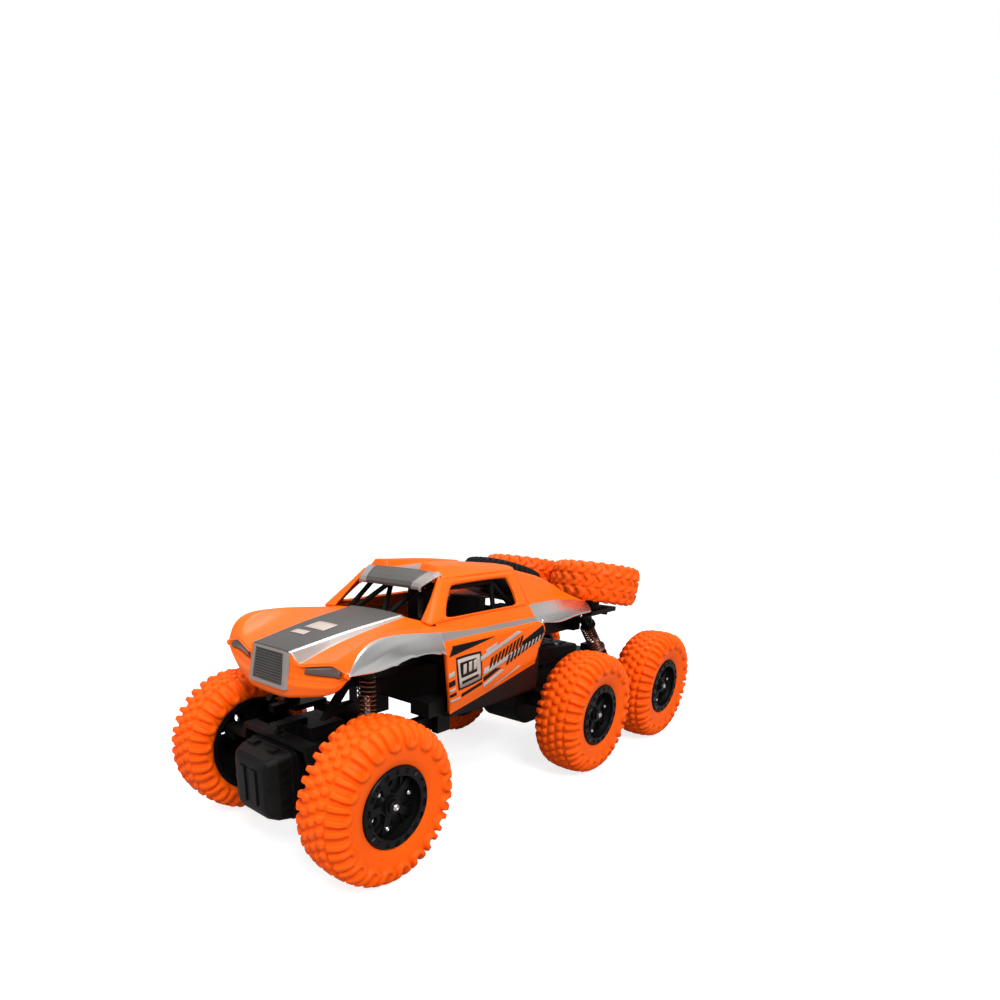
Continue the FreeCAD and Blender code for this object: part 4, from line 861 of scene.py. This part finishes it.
PLATE = [(-73.6, 76.6), (-56.6, 78.8), (-58.6, 92.6), (-76.4, 92.2)]
SIDE_DARK = [[(-82, 94.2), (-80.4, 94.4), (-45.4, 99.5), (-79, 99.2)],
    [(-74.6, 75.4), (-55.4, 77.8), (-57.4, 93.8), (-77.6, 93.4), 0.12],
    [(-20.6, 88.6), (1.6, 95), (-0.6, 99.6), (-21, 93)],
    [(-80.8, 78.4), (-77, 79.4), (-77.4, 82.2), (-81.2, 81.2)],
    [(-79.6, 72.8), (-75.6, 73.8), (-76, 75.4), (-79.8, 74.4)],
    [(-71.6, 71.6), (-55.2, 75.4), (-55.4, 77), (-71.8, 73.4)],
    [(-54.4, 76.4), (-39.4, 81.6), (-44.6, 82), (-54.8, 79)]]
SIDE_PALE = [PLATE + [0.12], [(-57.6, 88), (-21.4, 98.6), (-25.6, 99.6), (-57.8, 90.6)],
    [(-53.4, 91.6), (-44, 94.4), (-44.6, 96.2), (-54, 93.6)],
    [(-54.6, 80.2), (-0.6, 91.6), (0.4, 94.8), (-54.8, 83.6)],
    [(-81.6, 83.2), (-78, 84.2), (-78.2, 86.8), (-81.8, 85.8)],
    [(-80.2, 75.8), (-76.6, 76.6), (-76.8, 78), (-80.4, 77.2)],
    [(-79, 70), (-72.4, 71.2), (-72.8, 72.4), (-79.2, 71.4)],
    [(-49.6, 70.4), (-46.6, 70.6), (-20.8, 79.6), (-23.6, 79.8)],
    [(-54.2, 73), (-36.6, 79.8), (-40, 80.6), (-54.4, 75.4)]]


def make_markings(shell):
    """Painted blocks and bars. They carry no letters or figures."""
    skin = Skin(shell)
    skin.side_patches(SIDE_DARK, 0.14)
    skin.finish("dark_blocks", DECAL_BLACK, "black_plastic")
    skin.side_patches(SIDE_PALE, 0.26)
    skin.top_patches([[(-7.5, -126.5), (7.5, -126.5), (7.5, -117), (-7.5, -117), 0.05],
                      [(-8, -134.5), (2.5, -134.5), (2.5, -130), (-8, -130)]], 0.2)
    skin.finish("pale_blocks", DECAL_PALE, "grey_trim")
    bars = slanted_row((-50.6, 83), (-24.2, 90.6), 9, 1.7, 5.6, 2)
    bars += slanted_row((-35.4, 82), (-3.6, 91.6), 10, 1.9, 5.4, 2)
    plate = [[(-73, 82), (-60.4, 83.4), (-61.4, 90.8), (-74.6, 90.2), 0.1],
             [(-72, 78.6), (-59, 80.4), (-59.2, 81.8), (-72.2, 80.2)]]
    skin.side_patches(bars + plate, 0.38)
    skin.finish("dark_bars", DECAL_BLACK, "black_plastic")
    skin.side_patches([[(y, z), (y + 2.4, z + 0.4), (y + 2.2, z + 5.6), (y - 0.2, z + 5.2)]
                       for y, z in ((-71.6, 83.6), (-67.4, 84.2), (-63.6, 84.6))], 0.5)
    skin.finish("pale_bars", DECAL_PALE, "grey_trim")


# ---- gear cases ----

def rounded_section(y, half, low, high, corner):
    """Outline of a box section with round corners, in the plane across the truck."""
    points = []
    inset = half - corner
    middle = ((inset, high - corner), (-inset, high - corner), (-inset, low + corner), (inset, low + corner))
    for quarter, (x, z) in enumerate(middle):
        for step in range(6):
            angle = math.pi / 2 * (quarter + step / 5)
            points.append(Vector((x + corner * math.cos(angle), y, z + corner * math.sin(angle))))
    return points


def loft(bm, sections):
    rows = [[bm.verts.new(point) for point in rounded_section(*section)] for section in sections]
    close_tube(bm, rows)


# Sections of the front case: y, half width, bottom, top and corner radius.
CASE_SECTIONS = [(-168.4, 9.5, 28, 49, 2), (-168, 11.5, 26, 51, 3), (-166.2, 14, 23.5, 53.4, 4),
                 (-162, 16, 21.8, 55, 4), (-155.6, 16.8, 21.2, 55.8, 3), (-155.4, 17.4, 20.9, 56.2, 3),
                 (-153.6, 17.4, 20.9, 56.2, 3), (-153.4, 16.6, 21.6, 55.6, 3), (-153, 16.6, 21.6, 55.6, 3),
                 (-152.8, 17.4, 20.9, 56.2, 3), (-150.8, 17.4, 20.9, 56.2, 3), (-150.6, 17, 21.2, 56, 2.4),
                 (-136.5, 17, 21.2, 56, 2)]
# Raised panels on its nose and top, as opposite corners.
CASE_PANELS = [((x, -169.3, 29.5), (x + 4.2, -167, 47.5)) for x in (-6.6, 2.6)]
CASE_PANELS += [((-13.6, -167.2, 38), (13.6, -163.5, 39.6))]
CASE_PANELS += [((x, -161, 54.6), (x + 5, -156.6, 56.6)) for x in (-10.5, 5.5)]
# Ribs that stand on both its sides: inner and outer x, then low and high y and z.
CASE_RIBS = [(15.4, 17.6, -160.8, -156.4, z - 1, z + 1) for z in (29, 34, 43.5, 48.5)]
CASE_RIBS += [(16.4, 18, y - 0.9, y + 0.9, 25, 50) for y in (-149, -144.6, -140.2)]


def make_front_case():
    """Front motor case: two moulded halves with a flange, raised panels and ribs."""
    bm = bmesh.new()
    loft(bm, CASE_SECTIONS)
    for low, high in CASE_PANELS:
        add_block(bm, low, high)
    for inner, outer, low_y, high_y, low_z, high_z in CASE_RIBS:
        for low_x, high_x in ((inner, outer), (-outer, -inner)):
            add_block(bm, (low_x, low_y, low_z), (high_x, high_y, high_z))
    piece = add_solid("front_motor_case", bm, [BLACK], "front_axle", ["front_housing_front"])
    finish_bevel(piece, 0.35, angle=30)


# Lugs on the bogie cover: x, y, width, length and height. Its screws: x and y.
CASE_LUGS = [(-11, 47, 9, 5, 1), (2.5, 46, 8.5, 4.5, 1.2), (-4, 54, 8, 7, 1.6), (6.5, 56, 5.5, 5, 1.2),
    (-12, 57, 5, 6, 1.2), (5.5, 65, 6, 7, 1.4), (-6.5, 66, 8, 5, 1.2), (-12, 74, 6.5, 5, 1.4),
    (-2, 76, 6, 5, 1), (6.5, 78, 5.5, 4.5, 1.4), (-8, 85, 7, 5, 1.2), (3, 87, 6.5, 5, 1.2)]
CASE_SCREWS = [(11, 52.5), (-11.5, 53.5), (0.5, 63.5), (11.5, 74), (-11, 82.5), (11, 90.5)]


def case_top(y):
    """Height of the sloping top of the bogie cover."""
    return 73.8 - 0.1 * (y - 44)


def make_case_cover():
    """Cover over the bogie's gears: a sloping top with lugs and screws."""
    bm = bmesh.new()
    loft(bm, [(39.6, 12, 62, 71.6, 2), (41, 14, 60, 73.4, 2.5), (44, 14.6, 60, case_top(44), 2.5),
              (98, 14.6, 58, case_top(98), 2), (101.5, 12.5, 58, 66.6, 2)])
    for x, y, width, length, height in CASE_LUGS:
        add_block(bm, (x, y, case_top(y) - 4), (x + width, y + length, case_top(y) + height - 0.6))
    for x, y in CASE_SCREWS:
        top = Vector((x, y, case_top(y)))
        add_rod(bm, top - Vector((0, 0, 2)), top + Vector((0, 0, 0.9)), 1.7, 12, 1)
    finish_bevel(add_solid("case_cover", bm, [BLACK, STEEL], "bogie"), 0.35, angle=30)


# ---- springs ----

SPRING_X = 33
COIL_RADIUS = 4.15
WIRE = 0.5
STEPS_PER_TURN = 20


def make_coils(end, top, direction, length, turns):
    """A pair of coil springs that ride on their shocks."""
    bm = bmesh.new()
    direction = Vector(direction).normalized()
    side_axis = Vector((1, 0, 0))
    third = direction.cross(side_axis)
    steps = turns * STEPS_PER_TURN
    for side in SIDES.values():
        rows = []
        for k in range(steps + 1):
            angle = 2 * math.pi * k / STEPS_PER_TURN
            drop = WIRE + (length - 2 * WIRE) * k / steps
            out = side_axis * math.cos(angle) + third * math.sin(angle)
            centre = Vector(top) + side_axis * SPRING_X * side - direction * drop + out * COIL_RADIUS
            rows.append([bm.verts.new(centre + out * a + direction * b) for a, b in circle(WIRE, 8)])
        close_tube(bm, rows, True)
    piece = add_solid(end + "_coils", bm, [COPPER], end + "_shocks", [end + "_springs"])
    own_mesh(piece)


def make_springs():
    make_coils("front", (0, -122, 90), (0, 0, 1), 19, 8)
    make_coils("rear", (0, 75.7, 87.2), (0, -0.6907, 0.7232), 22.9, 9)


# ---- carried-over CAD nodes ----

CAD_FINISHES = [
    (BLACK, """bogie_case_left bogie_case_right front_housing_rear knuckle_left knuckle_right tie_rod
     steering_servo steering_horn front_arm rear_arm front_shock_bodies rear_shock_bodies chassis_frame
     battery_door power_switch cockpit_tub roll_cage rear_deck"""),
    (RIM_BLACK, " ".join("rim_%s_%s" % (station, side) for station in STATIONS for side in SIDES)),
    (STEEL, """stub_axle_left stub_axle_right middle_axle_shaft rear_axle_shaft front_drive_shaft body_screws
     front_shock_rods rear_shock_rods"""),
    (NYLON, """middle_axle_gear rear_axle_gear bogie_idler_front bogie_idler_centre bogie_idler_rear
     front_drive_gear"""),
    (BRASS, "bogie_motor_pinion front_motor_pinion"),
    (MOTOR_CAN, "bogie_motor front_motor"),
    (BATTERY, "battery_cells"),
    (BOARD, "circuit_board"),
]
# Width of the soft edges.
EDGES = {0.4: "knuckle_left knuckle_right tie_rod", 0.5: "chassis_frame rear_deck", 0.6: "front_arm rear_arm",
         0.7: "front_housing_rear bogie_case_left bogie_case_right", 0.8: "steering_servo",
         1.2: "cockpit_tub"}


def finish_cad_nodes():
    for material, names in CAD_FINISHES:
        for name in names.split():
            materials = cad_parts[name].data.materials
            materials.clear()
            materials.append(material)
    for width, names in EDGES.items():
        for name in names.split():
            finish_bevel(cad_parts[name], width, 3, 40)


# ---- stage, light and camera ----

def make_stage():
    bpy.ops.mesh.primitive_plane_add(size=6.0, location=(0, 0, 0))
    floor = bpy.context.object
    floor.name = "studio_floor"
    recipe = Recipe(bpy.data.materials.new("studio_white"))
    seen = recipe.add("ShaderNodeLightPath").outputs["Is Camera Ray"]
    recipe.connect(recipe.spread(recipe.noise(3.0), 0.35, 0.45), "Base Color")
    recipe.connect(recipe.spread(seen, 0.0, FLOOR_GLOW), "Emission Strength")
    recipe.constant(Roughness=0.8, Specular_IOR_Level=0.0, Emission_Color=(1, 1, 1, 1))
    floor.data.materials.append(recipe.owner)


def make_world():
    """White backdrop, with a sky that lights the truck less from below."""
    recipe = Recipe(bpy.data.worlds.new("studio"), "Background")
    height = recipe.add("ShaderNodeSeparateXYZ", vector=recipe.places["Generated"]).outputs["Z"]
    fade = recipe.add("ShaderNodeMapRange", value=height, from_min=-0.15, from_max=0.75, to_min=SKY_LOW,
                      to_max=SKY_HIGH)
    recipe.constant(Color=(1, 1, 1, 1))
    recipe.connect(fade.outputs["Result"], "Strength")
    backdrop = recipe.add("ShaderNodeBackground", color=(1, 1, 1, 1))
    seen = recipe.add("ShaderNodeLightPath").outputs["Is Camera Ray"]
    mix = recipe.add("ShaderNodeMixShader", fac=seen)
    recipe.links.new(recipe.shader.outputs["Background"], mix.inputs[1])
    recipe.links.new(backdrop.outputs["Background"], mix.inputs[2])
    recipe.links.new(mix.outputs["Shader"], recipe.nodes["World Output"].inputs["Surface"])
    scene.world = recipe.owner


def make_lights():
    """Soft square lamps that point at the truck."""
    for name, place, size, power in (("key", (1.1, -0.7, 1.3), 0.6, 22), ("top", (-0.4, 0.2, 1.6), 0.8, 14),
                                     ("front", (-0.6, -1.4, 0.6), 0.8, 3)):
        data = bpy.data.lights.new(name, "AREA")
        data.size = size
        data.energy = power
        light = bpy.data.objects.new(name, data)
        light.location = place
        light.rotation_euler = (LIGHT_TARGET - Vector(place)).to_track_quat("-Z", "Y").to_euler()
        scene.collection.objects.link(light)


def make_camera():
    """The camera stands ahead of the truck's left front corner, level with the roof, tilted down."""
    data = bpy.data.cameras.new("camera")
    data.lens = CAMERA_LENS * data.sensor_width
    data.shift_x = 0.0745
    data.shift_y = 0.2217
    data.clip_start = 0.01
    camera = bpy.data.objects.new("camera", data)
    level = CAMERA_FORWARD.to_track_quat("-Z", "Y")
    camera.rotation_mode = "QUATERNION"
    camera.rotation_quaternion = level @ Quaternion((0, 0, 1), CAMERA_ROLL)
    camera.location = CAMERA_PLACE
    scene.collection.objects.link(camera)
    scene.camera = camera


scene.view_settings.view_transform = "Standard"
make_stage()
make_world()
make_lights()
make_camera()
finish_cad_nodes()
make_tyres()
make_rim_trim()
make_spares()
painted_shell = make_body_shell()
make_lamps()
make_grille()
make_visor()
make_markings(painted_shell)
make_springs()
make_front_case()
make_case_cover()
